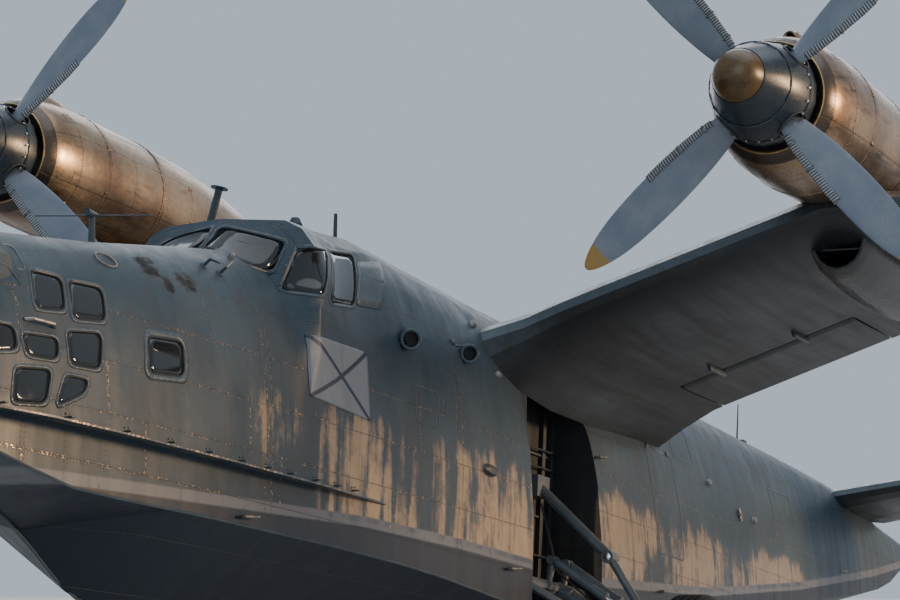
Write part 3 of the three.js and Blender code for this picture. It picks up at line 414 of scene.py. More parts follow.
def hullFinish():
    p = hullPaint
    mat = newMaterial("hullPaint", specular=0.32)
    place, x, s, h = airPlace()
    girth = blendValue(spread(upward(), 0.55, 0.75), h, x)
    # panel lines and rivets
    frames = toLine(s, p["frameStep"], p["frameFrom"])
    stringers = toLine(girth, p["stringerStep"], p["stringerFrom"])
    row = calc("FLOOR", calc("DIVIDE", minus(girth, p["stringerFrom"]), p["stringerStep"]))
    butts = toLine(addUp(s, stagger(row, p["panelLong"], p["frameStep"])), p["panelLong"], p["frameFrom"])
    seams = most(near(butts, 0.0055), near(stringers, 0.0045))
    rivets = most(
        rivetedSeam(girth, frames, 0.045, 0.0065, 0.022),
        rivetRow(s, toPlace(stringers, 0.02), 0.045, 0.006),
    )
    edges = most(near(butts, 0.017), near(stringers, 0.015))
    for place0 in p["doubleSeams"]:
        off = toPlace(s, place0)
        rivets = most(rivets, rivetedSeam(girth, off, 0.05, 0.01, 0.03))
        seams = most(seams, near(toPlace(off, 0.055), 0.008))
        edges = most(edges, near(toPlace(off, 0.055), 0.028))
    # paint wear: broad patches, vertical streaks and chips. The golden bare metal is partly wear and partly a
    # painted sunlit sheen, and bright specks along the seams are painted glints
    broad = cloud(place, 0.55, 5, 0.6)
    streaks = cloud(scaled(place, 5, 5, 0.45), 1.0, 5, 0.6)
    chips = cloud(place, 14, 6, 0.7)
    # the bare metal is kept low on the hull and away from the nose, where the sunlight falls: a painted
    # sunlit sheen as well as wear
    low = times(spread(h, -2.5, -3.6), spread(s, -5.2, -2.6, 0.55, 1.0))
    wear = times(addUp(broad, times(streaks, 0.9)), low)
    bareAndSunGlints = spread(addUp(wear, times(chips, 0.2)), 0.94, 1.2)
    fadedShare = spread(addUp(broad, times(chips, 0.3)), 0.5, 0.85)
    colour = mixed(fadedShare, p["paint"], p["faded"])
    # bright specks along the seams, low on the hull: painted glints of sunlight
    paintedGlints = times(edges, spread(cloud(place, 36, 4, 0.7), 0.56, 0.62))
    paintedGlints = times(paintedGlints, spread(addUp(h, times(broad, -1.2)), -2.9, -4.0))
    bareAndSunGlints = most(bareAndSunGlints, paintedGlints)
    colour = mixed(times(bareAndSunGlints, 0.85), colour, p["worn"])
    line = followed(s, p["bandLine"])
    under = minus(line, h)
    bottom = spread(under, 0, 0.01)
    # below the band: dark blue bottom paint, partly painted shade under the hull
    colour = mixed(bottom, colour, p["bottom"])
    band = near(absolute(under), p["bandHalf"])
    scuffs = spread(chips, 0.62, 0.7)
    colour = mixed(times(band, minus(1, scuffs)), colour, p["band"])
    grime = times(spread(streaks, 0.5, 0.75), 0.35)
    colour = mixed(grime, colour, p["grime"])
    colour = mixed(times(seams, 0.55), colour, p["grime"])
    # painted shade inside the wheel wells, almost black
    front, back = p["wellSpan"]
    wellShade = times(spread(s, front - 0.01, front), spread(s, back + 0.01, back))
    wellShade = times(wellShade, spread(absolute(x), 1.13, 1.08))
    wellShade = times(wellShade, times(spread(h, -1.95, -2.05), spread(h, -5, -4.9)))
    colour = mixed(times(wellShade, 0.96), colour, p["grime"])
    # soot on the nose deck
    blotch = cloud(scaled(place, 9, 4, 7), 1.0, 7, 0.78)
    sooty = 0.0
    for spotX, spotS, spotH, reach in p["sootSpots"]:
        side = minus(absolute(x), spotX)
        away = joined(side, minus(s, spotS), minus(h, spotH))
        gone = spread(lengthOf(away), reach * 0.2, reach, 0.16, -0.3)
        soot = spread(addUp(blotch, gone), 0.5, 0.72)
        colour = mixed(times(soot, 0.95), colour, p["soot"])
        sooty = most(sooty, soot)
    metal = times(bareAndSunGlints, minus(1, most(bottom, wellShade)))
    rough = blendValue(metal, calc("MULTIPLY_ADD", streaks, 0.35, 0.26), 0.32)
    quilt = times(spread(frames, 0, 0.2), 0.35)
    soft = raised(addUp(cloud(place, 2.6, 2), quilt), 0.5, 0.012)
    fill(
        colour=colour,
        metal=times(metal, 0.9),
        rough=blendValue(sooty, rough, 0.9),
        normal=relief(rivets, seams, soft),
    )
    return mat


wingPaint = {
    "upper": (0.03, 0.047, 0.059),
    # under: the wing paint darkened as painted shade on the underside
    "under": (0.02, 0.023, 0.026),
    "faded": (0.055, 0.076, 0.09),
    "grime": (0.018, 0.016, 0.014),
    "ribStep": 0.62,
    "ribFrom": 0.2,
    "sparStep": 0.58,
    "sparFrom": 0.12,
    "panelLong": 2.48,
}


def wingFinish(name="wingPaint", upright=False):
    p = wingPaint
    mat = newMaterial(name, specular=0.45)
    place, x, s, h = airPlace()
    span = h if upright else absolute(x)
    ribs = toLine(span, p["ribStep"], p["ribFrom"])
    spars = toLine(s, p["sparStep"], p["sparFrom"])
    row = calc("FLOOR", calc("DIVIDE", minus(s, p["sparFrom"]), p["sparStep"]))
    butts = toLine(addUp(span, stagger(row, p["panelLong"], p["ribStep"])), p["panelLong"], p["ribFrom"])
    seams = most(near(butts, 0.005), near(spars, 0.0045))
    rivets = most(
        rivetedSeam(s, ribs, 0.045, 0.0062, 0.02),
        rivetRow(span, toPlace(spars, 0.02), 0.045, 0.0062),
    )
    broad = cloud(place, 0.7, 5, 0.6)
    streaks = cloud(scaled(place, 6, 0.5, 6), 1.0, 5, 0.6)
    chips = cloud(place, 15, 6, 0.7)
    # surfaces facing down take the darker under colour: painted shade on the underside
    upper = spread(upward(), -0.35, 0.1)
    colour = mixed(1.0 if upright else upper, p["under"], p["upper"])
    faded = spread(addUp(broad, times(chips, 0.3)), 0.55, 0.9)
    colour = mixed(times(faded, 0.5), colour, p["faded"])
    grime = times(spread(streaks, 0.45, 0.75), 0.5)
    colour = mixed(grime, colour, p["grime"])
    colour = mixed(times(seams, 0.55), colour, p["grime"])
    soft = raised(cloud(place, 2.4, 2), 0.45, 0.012)
    fill(
        colour=colour,
        rough=calc("MULTIPLY_ADD", streaks, 0.4, 0.2),
        metal=0.25,
        normal=relief(rivets, seams, soft),
    )
    return mat


cowlMetal = {
    "metal": (0.2, 0.127, 0.078),
    "bright": (0.42, 0.3, 0.19),
    "stain": (0.034, 0.022, 0.015),
    "front": (0.085, 0.07, 0.058),
    "seams": (0.36, 0.78, 1.36, 1.95, 2.6, 3.3, 4.1, 4.9),
    "radius": 0.72,
    "frontTo": 0.36,
}


def cowlFinish():
    p = cowlMetal
    mat = newMaterial("cowlMetal", metal=0.9)
    place, x, s, h = airPlace()
    arc = times(calc("ARCTAN2", h, fromShaft(x)), p["radius"])
    lengthwise = toLine(arc, p["radius"] * math.pi / 4, 0.3)
    rings = 9.0
    for station in p["seams"]:
        rings = calc("MINIMUM", rings, toPlace(s, station))
    seams = most(near(rings, 0.007), near(lengthwise, 0.006))
    rivets = most(
        rivetedSeam(arc, rings, 0.05, 0.008, 0.03),
        rivetRow(s, toPlace(lengthwise, 0.03), 0.05, 0.008),
    )
    broad = cloud(place, 1.1, 5, 0.6)
    smear = cloud(scaled(place, 5, 0.7, 5), 1.0, 5, 0.65)
    fine = cloud(place, 22, 5, 0.7)
    colour = mixed(spread(broad, 0.35, 0.7), p["metal"], p["bright"])
    colour = mixed(times(spread(smear, 0.48, 0.7), 0.8), colour, p["stain"])
    colour = mixed(spread(s, p["frontTo"] + 0.01, p["frontTo"] - 0.01), colour, p["front"])
    colour = mixed(times(seams, 0.7), colour, p["stain"])
    soft = raised(cloud(place, 3.2, 2), 0.35, 0.012)
    fill(
        colour=colour,
        rough=calc("MULTIPLY_ADD", addUp(smear, fine), 0.22, 0.08),
        normal=relief(rivets, seams, soft),
    )
    return mat


def plainMetal(name, dark, light, metal, rough, scale, lumps=0.3):
    mat = newMaterial(name, metal=metal)
    place = objectPlace()
    broad = cloud(place, scale, 6, 0.65)
    fine = cloud(place, scale * 8, 4, 0.6)
    fill(
        colour=mixed(spread(broad, 0.35, 0.7), dark, light),
        rough=calc("MULTIPLY_ADD", fine, 0.3, rough - 0.15),
        normal=raised(fine, lumps, 0.002),
    )
    return mat


def chippedPaint(name, paint, faded, under, rough, scale, chips):
    mat = newMaterial(name, specular=0.45)
    place = objectPlace()
    broad = cloud(place, scale, 6, 0.6)
    fine = cloud(place, scale * 7, 5, 0.7)
    colour = mixed(spread(broad, 0.35, 0.75), paint, faded)
    chip = spread(addUp(times(fine, 0.8), times(broad, 0.3)), chips, chips + 0.03)
    fill(
        colour=mixed(chip, colour, under),
        metal=times(chip, 0.8),
        rough=calc("MULTIPLY_ADD", fine, 0.3, rough - 0.15),
        normal=raised(minus(fine, times(chip, 0.4)), 0.4, 0.002),
    )
    return mat


bladePaint = {
    "paint": (0.105, 0.13, 0.165),
    "faded": (0.15, 0.175, 0.205),
    "tip": (0.27, 0.16, 0.025),
    "tipFrom": 2.27,
}


def bladeFinish():
    p = bladePaint
    mat = newMaterial("bladePaint", specular=0.5)
    place, x, _, h = airPlace()
    side = fromShaft(x)
    reach = calc("SQRT", addUp(times(side, side), times(h, h)))
    broad = cloud(place, 3.0, 5, 0.6)
    fine = cloud(place, 30, 5, 0.7)
    colour = mixed(spread(broad, 0.35, 0.7), p["paint"], p["faded"])
    edge = spread(reach, p["tipFrom"] - 0.004, p["tipFrom"] + 0.004)
    colour = mixed(edge, colour, p["tip"])
    grime = times(spread(addUp(fine, times(broad, 0.5)), 0.75, 0.95), 0.35)
    colour = mixed(grime, colour, (0.12, 0.11, 0.1))
    fill(
        colour=colour,
        rough=calc("MULTIPLY_ADD", fine, 0.3, 0.28),
        normal=raised(fine, 0.15, 0.002),
    )
    return mat


def rubberFinish():
    mat = newMaterial("tyreRubber", specular=0.3)
    place = objectPlace()
    dust = cloud(place, 4, 6, 0.65)
    fine = cloud(place, 60, 4)
    fill(
        colour=mixed(spread(dust, 0.4, 0.75), (0.014, 0.014, 0.015), (0.042, 0.04, 0.037)),
        rough=calc("MULTIPLY_ADD", dust, 0.3, 0.6),
        normal=raised(fine, 0.3, 0.002),
    )
    return mat


def glassFinish():
    mat = newMaterial("windowGlass", glass=0.8, ior=1.49, colour=(0.05, 0.062, 0.07))
    place = objectPlace()
    haze = cloud(place, 3, 5, 0.6)
    fill(rough=spread(haze, 0.4, 0.8, 0.03, 0.16), normal=raised(cloud(place, 1.4, 1), 0.08, 0.01))
    return mat


def fabricFinish():
    mat = newMaterial("seatFabric", sheen=0.3)
    place = objectPlace()
    x, _, z = split(place)
    weave = addUp(calc("SINE", times(x, 900)), calc("SINE", times(z, 900)))
    wear = cloud(place, 5, 5)
    fill(
        colour=mixed(wear, (0.09, 0.075, 0.05), (0.17, 0.15, 0.11)),
        rough=0.85,
        normal=raised(weave, 0.25, 0.001),
    )
    return mat


# Ribbed boots: black rubber with pale stripes spaced like the ribs, by distance from the shaft; the pale
# stripes are painted highlights on the ribs
def bootFinish():
    mat = newMaterial("ribbedBoot", specular=0.35)
    place, x, _, h = airPlace()
    reach = lengthOf(joined(fromShaft(x), 0.0, h))
    ribHighlight = spread(calc("PINGPONG", reach, blade["rib"]), blade["rib"] * 0.4, blade["rib"] * 0.6)
    dirt = cloud(place, 24, 5, 0.7)
    # pale stripes: painted highlights on the ribs of the black rubber
    colour = mixed(ribHighlight, (0.03, 0.03, 0.032), (0.24, 0.26, 0.28))
    colour = mixed(spread(dirt, 0.45, 0.75), colour, (0.07, 0.07, 0.07))
    fill(
        colour=colour,
        rough=calc("MULTIPLY_ADD", dirt, 0.3, 0.4),
        normal=raised(dirt, 0.2, 0.001),
    )
    return mat


# Dial faces: a dark card with a ring of marks, by the piece's own map
def dialFinish():
    mat = newMaterial("dialFace", specular=0.5)
    u, v, _ = split(newNode("UVMap").outputs[0])
    fromMiddle = lengthOf(joined(u, v, 0.0))
    angle = calc("ARCTAN2", v, u)
    ticks = near(calc("PINGPONG", addUp(angle, 4.0), math.pi / 12), 0.06)
    ring = times(spread(fromMiddle, 0.68, 0.72), spread(fromMiddle, 0.92, 0.88))
    needle = times(near(toPlace(angle, 0.9), 0.12), spread(fromMiddle, 0.8, 0.75))
    marks = most(times(ticks, ring), needle)
    grain = cloud(objectPlace(), 90, 4)
    fill(
        colour=mixed(marks, mixed(grain, (0.01, 0.01, 0.011), (0.03, 0.03, 0.03)), (0.6, 0.6, 0.55)),
        rough=calc("MULTIPLY_ADD", grain, 0.2, 0.2),
    )
    return mat


paints = {
    # name, paint, faded paint, what chips show, roughness, scale of the wear, share that isn't chipped
    "spinner": ("spinnerPaint", (0.011, 0.019, 0.027), (0.02, 0.03, 0.04), (0.12, 0.12, 0.12), 0.3, 4, 0.78),
    "dome": ("spinnerDome", (0.085, 0.048, 0.009), (0.045, 0.024, 0.008), (0.02, 0.015, 0.012),
             0.32, 6, 0.64),
    "radome": ("radomePaint", (0.024, 0.036, 0.045), (0.042, 0.056, 0.066), (0.1, 0.1, 0.1), 0.45, 2.5, 0.76),
    "float": ("floatPaint", (0.03, 0.047, 0.059), (0.055, 0.076, 0.09), (0.2, 0.18, 0.15), 0.4, 3, 0.72),
    "cooler": ("coolerShell", (0.03, 0.04, 0.047), (0.075, 0.062, 0.045), (0.2, 0.14, 0.08), 0.3, 2.5, 0.66),
    "strake": ("strakePaint", (0.026, 0.042, 0.054), (0.05, 0.068, 0.08), (0.36, 0.26, 0.16), 0.36, 4, 0.6),
    "wheel": ("wheelPaint", (0.3, 0.36, 0.38), (0.4, 0.45, 0.46), (0.3, 0.28, 0.25), 0.45, 6, 0.66),
    "gear": ("gearPaint", (0.06, 0.075, 0.085), (0.095, 0.112, 0.122), (0.1, 0.085, 0.07), 0.4, 6, 0.66),
    "black": ("cockpitBlack", (0.02, 0.02, 0.021), (0.035, 0.035, 0.036), (0.1, 0.1, 0.1), 0.5, 12, 0.75),
    "frame": ("framePaint", (0.022, 0.038, 0.05), (0.042, 0.06, 0.074), (0.12, 0.11, 0.1), 0.42, 7, 0.7),
    "redLamp": ("redLamp", (0.32, 0.012, 0.01), (0.4, 0.02, 0.015), (0.2, 0.05, 0.04), 0.2, 14, 0.9),
    "greenLamp": ("greenLamp", (0.01, 0.22, 0.09), (0.02, 0.3, 0.13), (0.05, 0.15, 0.1), 0.2, 14, 0.9),
    "cover": ("coverPaint", (0.018, 0.022, 0.026), (0.035, 0.04, 0.045), (0.1, 0.1, 0.1), 0.5, 6, 0.72),
}
metals = {
    # name, dark metal, light metal, how metallic, roughness, scale of the grain, height of the grain
    "steel": ("gearSteel", (0.3, 0.32, 0.33), (0.52, 0.54, 0.55), 0.7, 0.42, 5),
    "chrome": ("polishedRod", (0.6, 0.6, 0.6), (0.75, 0.75, 0.75), 1.0, 0.2, 9, 0.05),
    "engine": ("engineCase", (0.06, 0.06, 0.06), (0.16, 0.15, 0.14), 0.8, 0.5, 7),
    "burnt": ("burntExhaust", (0.09, 0.07, 0.055), (0.24, 0.18, 0.13), 0.85, 0.5, 5, 0.4),
    "fitting": ("hullFitting", (0.1, 0.1, 0.1), (0.24, 0.23, 0.21), 0.7, 0.45, 9),
    "brass": ("wornBrass", (0.3, 0.2, 0.08), (0.5, 0.36, 0.16), 0.9, 0.4, 12),
}
finishes = {}


def makeFinishes():
    for finish, values in paints.items():
        finishes[finish] = chippedPaint(*values)
    for finish, values in metals.items():
        finishes[finish] = plainMetal(*values)
    finishes.update(
        floor=floorFinish(), hull=hullFinish(), wing=wingFinish(), fin=wingFinish("finPaint", upright=True),
        cowl=cowlFinish(), blade=bladeFinish(), rubber=rubberFinish(), glass=glassFinish(),
        fabric=fabricFinish(), flag=flagFinish(), boot=bootFinish(), dial=dialFinish(),
    )


# Which finish each CAD node takes, by the start of its name
nodeFinishes = [
    ("nose_radome", "radome"), ("nose_cabin", "hull"), ("nose_glass", "glass"), ("navigator_seat", "fabric"),
    ("forward_hull", "hull"), ("cockpit_canopy", "hull"), ("cockpit_glass", "glass"),
    ("instrument_panel", "black"), ("pilot_seat", "fabric"), ("centre_hull", "hull"), ("rear_hull", "hull"),
    ("tail_boom", "radome"), ("spray_strake", "strake"), ("inner_wing", "wing"), ("outer_wing", "wing"),
    ("tailplane", "wing"), ("fin", "fin"), ("nacelle", "cowl"), ("engine", "engine"), ("exhaust", "burnt"),
    ("cooler", "cooler"), ("float_struts", "float"), ("float", "float"), ("main_leg", "gear"),
    ("side_brace", "gear"), ("propeller", "blade"), ("spinner", "spinner"), ("wheel_hub", "wheel"),
    ("tyre", "rubber"), ("inner_flap", "wing"), ("outer_flap", "wing"), ("aileron", "wing"),
    ("elevator", "wing"), ("rudder", "fin"), ("tail_fork", "gear"), ("tail_wheel_hub", "wheel"),
    ("tail_tyre", "rubber"),
]


nodeEdges = {"weld": 0.0002, "sharpFrom": 26}


def dressNodes():
    for name, solid in nodes.items():
        finish = next(f for start, f in nodeFinishes if name.startswith(start))
        solid.data.materials.clear()
        solid.data.materials.append(finishes[finish])
        for face in solid.data.polygons:
            face.use_smooth = True
        weld = solid.modifiers.new("weld", "WELD")
        weld.merge_threshold = nodeEdges["weld"]
        edges = solid.modifiers.new("edges", "EDGE_SPLIT")
        edges.split_angle = math.radians(nodeEdges["sharpFrom"])
        even = solid.modifiers.new("even", "WEIGHTED_NORMAL")
        even.mode = "FACE_AREA_WITH_ANGLE"
        even.keep_sharp = True


# Tools for pieces on the skin

skinNodes = ["nose_radome", "nose_cabin", "forward_hull", "cockpit_canopy", "centre_hull", "rear_hull",
             "tail_boom"]
wingNodes = ["inner_wing_left", "outer_wing_left"]


def treeOf(names):
    shape = bmesh.new()
    for name in names:
        shape.from_mesh(nodes[name].data)
    tree = BVHTree.FromBMesh(shape)
    shape.free()
    return tree


trees = {"hull": treeOf(skinNodes), "wing": treeOf(wingNodes), "nacelle": treeOf(["nacelle_left"])}
print("skins ready")


def skinTree(name):
    if name not in trees:
        trees[name] = treeOf([name])
    return trees[name]


# Where a straight line from far off first meets a skin: (point, normal), both in world axes.
# A line that goes through an opening, past the distance far, takes the nearest skin instead.
def meet(skin, start, toward, far=12.0, near=4.0):
    start, toward = at(*start), toWorld.to_3x3() @ Vector(toward)
    point, normal, _, gone = skinTree(skin).ray_cast(start, toward)
    if point is None or gone > far:
        point, normal, _, _ = skinTree(skin).find_nearest(start + toward * near)
    return point, normal


def onSide(s, h, skin="hull"):
    return meet(skin, (4.0, s, h), (-1, 0, 0), 3.8, 3.0)


def onTop(x, s, skin="hull"):
    return meet(skin, (x, s, 3.0), (0, 0, -1))


def onCanopy(x, h):
    return meet("hull", (x, -4.0, h), (0, 1, 0), 1.8, 1.3)


def onUnder(x, s, skin="wing", far=12.0, near=4.0):
    return meet(skin, (x, s, -9.0), (0, 0, 1), far, near)


def lifted(spot, lift):
    point, normal = spot
    return point + normal * lift


# The cosine and sine of each step round a circle
def circle(count):
    turns = [2 * math.pi * k / count for k in range(count)]
    return [(math.cos(a), math.sin(a)) for a in turns]


def rectangle(u, v, long, high):
    sides = ((-0.5, -0.5), (0.5, -0.5), (0.5, 0.5), (-0.5, 0.5))
    return [(u + long * a, v + high * b) for a, b in sides]


# A frame whose z runs out of the skin and whose y runs as near to along as it can
def standing(point, normal, along=(0, 1, 0), lift=0.0):
    z = normal.normalized()
    y = Vector(along) - z * z.dot(Vector(along))
    y.normalize()
    x = y.cross(z)
    turn = Matrix((x, y, z)).transposed().to_4x4()
    return Matrix.Translation(point + z * lift) @ turn


def aimed(start, end):
    return Matrix.Translation(start) @ (end - start).to_track_quat("Z", "Y").to_matrix().to_4x4()


def addBlock(shape, size, place, bevel, segments=2):
    made = bmesh.ops.create_cube(shape, size=1)["verts"]
    bmesh.ops.scale(shape, vec=size, verts=made)
    edges = list({e for v in made for e in v.link_edges})
    made = bmesh.ops.bevel(shape, geom=made + edges, offset=bevel, segments=segments, affect="EDGES",
                           profile=0.5, material=-1)["verts"]
    bmesh.ops.transform(shape, matrix=place, verts=reach(made))


# A turned shape: profile is (radius, height) pairs, up the z axis of place
def addTurned(shape, profile, place, steps=24):
    line = [shape.verts.new((r, 0, z)) for r, z in profile]
    edges = [shape.edges.new(pair) for pair in zip(line, line[1:])]
    bmesh.ops.spin(shape, geom=line + edges, cent=(0, 0, 0), axis=(0, 0, 1), angle=2 * math.pi, steps=steps,
                   use_merge=True)
    made = reach(line)
    bmesh.ops.remove_doubles(shape, verts=made, dist=1e-6)
    bmesh.ops.transform(shape, matrix=place, verts=reach([v for v in made if v.is_valid]))


# Rings of points joined into a skin and closed at the last ring, or at both ends
def addLoft(shape, rings, closed=False):
    loops = []
    for ring in rings:
        ring = [shape.verts.new(p) for p in ring]
        loops.append([shape.edges.new((ring[i - 1], ring[i])) for i in range(len(ring))])
    for one, other in zip(loops, loops[1:]):
        bmesh.ops.bridge_loops(shape, edges=one + other)
    if closed:
        bmesh.ops.contextual_create(shape, geom=loops[0])
    bmesh.ops.contextual_create(shape, geom=loops[-1])


# Every vertex joined to these
def reach(start):
    found, queue = set(start), list(start)
    while queue:
        for edge in queue.pop().link_edges:
            for v in edge.verts:
                if v not in found:
                    found.add(v)
                    queue.append(v)
    return list(found)


def addRod(shape, points, radius, sides=10, tip=None):
    points = [Vector(p) for p in points]
    last = aimed(points[0], points[1])
    ring = bmesh.ops.create_circle(shape, segments=sides, radius=radius, matrix=last)["verts"]
    loop = list({e for v in ring for e in v.link_edges})
    starts, count = loop, len(points)
    for i in range(1, count):
        ahead = points[min(i + 1, count - 1)] - points[i]
        behind = points[i] - points[i - 1]
        heading = (ahead.normalized() + behind.normalized()) if i + 1 < count else behind
        here = aimed(points[i], points[i] + heading)
        made = bmesh.ops.extrude_edge_only(shape, edges=loop)["geom"]
        ring = [g for g in made if isinstance(g, bmesh.types.BMVert)]
        loop = [g for g in made if isinstance(g, bmesh.types.BMEdge) and all(v in ring for v in g.verts)]
        bmesh.ops.transform(shape, matrix=here @ last.inverted(), verts=ring)
        if tip and i == count - 1:
            bmesh.ops.scale(shape, vec=(tip, tip, tip), verts=ring, space=Matrix.Translation(-points[i]))
        last = here
    bmesh.ops.contextual_create(shape, geom=starts)
    bmesh.ops.contextual_create(shape, geom=loop)


def addBolt(shape, point, normal, radius=0.012, height=0.006, sides=6):
    place = standing(point, normal, (0, 0, 1), -0.002)
    addTurned(shape, [(0, height + 0.002), (radius * 0.8, height + 0.002), (radius, height), (radius, 0)],
              place, sides)


# A closed outline with rounded corners, as evenly spaced points
def rounded(corners, radius, step=0.03):
    shape = [Vector(c) for c in corners]
    path = []
    for i, corner in enumerate(shape):
        before, after = shape[i - 1] - corner, shape[(i + 1) % len(shape)] - corner
        back = min(radius, before.length * 0.45, after.length * 0.45)
        a, b = corner + before.normalized() * back, corner + after.normalized() * back
        for k in range(6):
            t = k / 5
            path.append(a * (1 - t) ** 2 + corner * 2 * t * (1 - t) + b * t * t)
    even = []
    for i, p in enumerate(path):
        q = path[(i + 1) % len(path)]
        parts = max(1, int((q - p).length / step))
        even += [p.lerp(q, k / parts) for k in range(parts)]
    return even


# The same outline pushed outward by a distance
def grown(outline, distance):
    count = len(outline)
    ahead = outline[1:] + outline[:1]
    area = sum(a[0] * b[1] - b[0] * a[1] for a, b in zip(outline, ahead))
    sign = 1 if area > 0 else -1
    made = []
    for i in range(count):
        run = (outline[(i + 1) % count] - outline[i - 1]).normalized()
        made.append(outline[i] + Vector((run[1], -run[0])) * distance * sign)
    return made


# A flat strip laid on the skin between two outlines
def addStrip(shape, inner, outer, meetSkin, lift):
    loops = []
    for outline in (inner, outer):
        ring = [shape.verts.new(lifted(meetSkin(u, v), lift)) for u, v in outline]
        loops.append([shape.edges.new((ring[i], ring[(i + 1) % len(ring)])) for i in range(len(ring))])
    bmesh.ops.bridge_loops(shape, edges=loops[0] + loops[1])


# Windows: frames screwed on round the openings, with black seals inside them

windows = {
    "side": [  # corners as (s, h), seen from the side
        [(-6.74, -3.285), (-6.345, -3.24), (-6.275, -2.935), (-6.66, -2.94)],
        [(-6.265, -3.29), (-5.81, -3.235), (-5.745, -2.925), (-6.185, -2.945)],
        [(-6.915, -3.715), (-6.52, -3.69), (-6.49, -3.5), (-6.945, -3.535)],
        [(-6.365, -3.7), (-5.96, -3.68), (-5.89, -3.35), (-6.36, -3.415)],
        [(-7.09, -4.135), (-6.69, -4.09), (-6.605, -3.79), (-7.04, -3.84)],
        [(-6.55, -4.085), (-6.19, -3.925), (-6.115, -3.798), (-6.42, -3.804)],
        [(-7.42, -3.76), (-7.015, -3.69), (-7.02, -3.49), (-7.4, -3.5)],
        [(-5.27, -3.59), (-4.728, -3.54), (-4.695, -3.215), (-5.212, -3.256)],
    ],
    "cockpit": [
        [(-2.727, -2.363), (-2.442, -2.379), (-2.015, -1.839), (-2.555, -1.922)],
        [(-2.27, -2.404), (-1.642, -2.322), (-1.159, -1.7), (-1.835, -1.801)],
    ],
    "screen": [(0.042, -1.955), (0.68, -2.195), (0.738, -1.862), (0.042, -1.69)],
    "front": [[(0.06, -3.83), (0.33, -3.83), (0.33, -3.62), (0.06, -3.62)],
              [(0.06, -4.12), (0.33, -4.12), (0.33, -3.92), (0.06, -3.92)]],
    # how each kind is looked at: start of the sight line, its direction, where the skin ends, the skin
    "sights": {
        "side": (lambda u, v: (4.0, u, v), (-1, 0, 0), 3.8, "hull"),
        "front": (lambda u, v: (u, -9.0, v), (0, 1, 0), 1.6, "hull"),
        "screen": (lambda u, v: (u, -4.0, v), (0, 1, 0), 1.8, "cockpit_canopy"),
    },
    "corner": 0.085,
    "outerCorner": 0.045,
    "frameWidth": 0.034,
    "frameHeight": 0.0025,
    "seal": 0.0065,
    "sill": 0.03,
    "paneDepth": 0.003,
    "screwStep": 0.085,
}


# The skin as it would run across an opening: inside the opening it is carried over from the rim
def acrossOpening(corners, kind):
    origin, toward, far, skin = windows["sights"][kind]
    heading = toWorld.to_3x3() @ Vector(toward)

    def look(u, v):
        point, normal, _, gone = skinTree(skin).ray_cast(at(*origin(u, v)), heading)
        return (normal, gone) if point is not None and gone < far else (None, far)

    rim = [(spot, *look(*spot)) for spot in grown(rounded(corners, 0.02), 0.014)]
    rim = [(spot, normal, gone) for spot, normal, gone in rim if normal is not None]
    middle = sum((spot for spot, _, _ in rim), Vector((0, 0))) / len(rim)
    outward = sum((normal for _, normal, _ in rim), Vector()).normalized()

    def terms(u, v):
        u, v = u - middle[0], v - middle[1]
        return 1, u, v, u * u, u * v, v * v

    bulge = np.linalg.lstsq([terms(*spot) for spot, _, _ in rim], [gone for _, _, gone in rim], rcond=None)[0]

    def onPane(u, v):
        return at(*origin(u, v)) + heading * float(np.dot(bulge, terms(u, v))), outward

    def onSkin(u, v):
        normal, gone = look(u, v)
        weights = [1 / ((spot - Vector((u, v))).length_squared + 1e-5) ** 1.5 for spot, _, _ in rim]
        carried = sum(w * p[2] for w, p in zip(weights, rim)) / sum(weights)
        if normal is None or abs(gone - carried) > windows["sill"]:
            normal, gone = outward, carried
        return at(*origin(u, v)) + heading * gone, normal

    return onSkin, onPane


def addPane(panes, outline, onPane):
    middle = sum(outline, Vector((0, 0))) / len(outline)
    rings = []
    for share in (1, 0.75, 0.5, 0.25):
        rings.append([lifted(onPane(*middle.lerp(spot, share)), -windows["paneDepth"]) for spot in outline])
    addLoft(panes, rings)


def addWindow(shapes, corners, kind, wide=1.0):
    w = windows
    frames, seals, screws, panes = shapes
    width = w["frameWidth"] * wide
    onSkin, onPane = acrossOpening(corners, kind)
    opening = rounded(corners, w["corner"])
    addPane(panes, opening, onPane)
    outer = grown(rounded(corners, w["outerCorner"]), width)
    addStrip(frames, grown(opening, 0.003), outer, onSkin, 0.0005)
    addLoopRod(seals, [onPane(*spot)[0] for spot in opening], w["seal"])
    travelled = 0.0
    middle = grown(opening, width * 0.65)
    for i, spot in enumerate(middle):
        travelled += (spot - middle[i - 1]).length
        if travelled > w["screwStep"]:
            travelled = 0.0
            point, normal = onSkin(*spot)
            addBolt(screws, point + normal * w["frameHeight"], normal, 0.0065, 0.0025, 8)


def addLoopRod(shape, points, radius, sides=6):
    rings = []
    count = len(points)
    for i, p in enumerate(points):
        run = points[(i + 1) % count] - points[i - 1]
        turn = aimed(p, p + run)
        ring = bmesh.ops.create_circle(shape, segments=sides, radius=radius, matrix=turn)["verts"]
        rings.append(list({e for v in ring for e in v.link_edges}))
    for i in range(count):
        bmesh.ops.bridge_loops(shape, edges=rings[i] + rings[(i + 1) % count])


def makeWindows():
    shapes = frames, seals, screws, panes = blanks(4)
    w = windows
    for corners in w["side"] + w["cockpit"]:
        addWindow(shapes, corners, "side", 2.0 if corners is w["side"][-1] else 1.0)
    for corners in w["front"]:
        addWindow(shapes, corners, "front")
    addWindow(shapes, w["screen"], "screen")
    thicken(addBoth("windowFrames", frames, "frame"), w["frameHeight"])
    addBoth("windowSeals", seals, "rubber")
    addBoth("windowScrews", screws, "fitting")
    glass = addBoth("windowPanes", panes, "glass", 60)
    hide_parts("nose_glass", "cockpit_glass")
    thicken(glass, 0.004, 0)
    print("windows glazed")


# The white panel with a dark blue diagonal cross, painted on a thin sheet on the skin

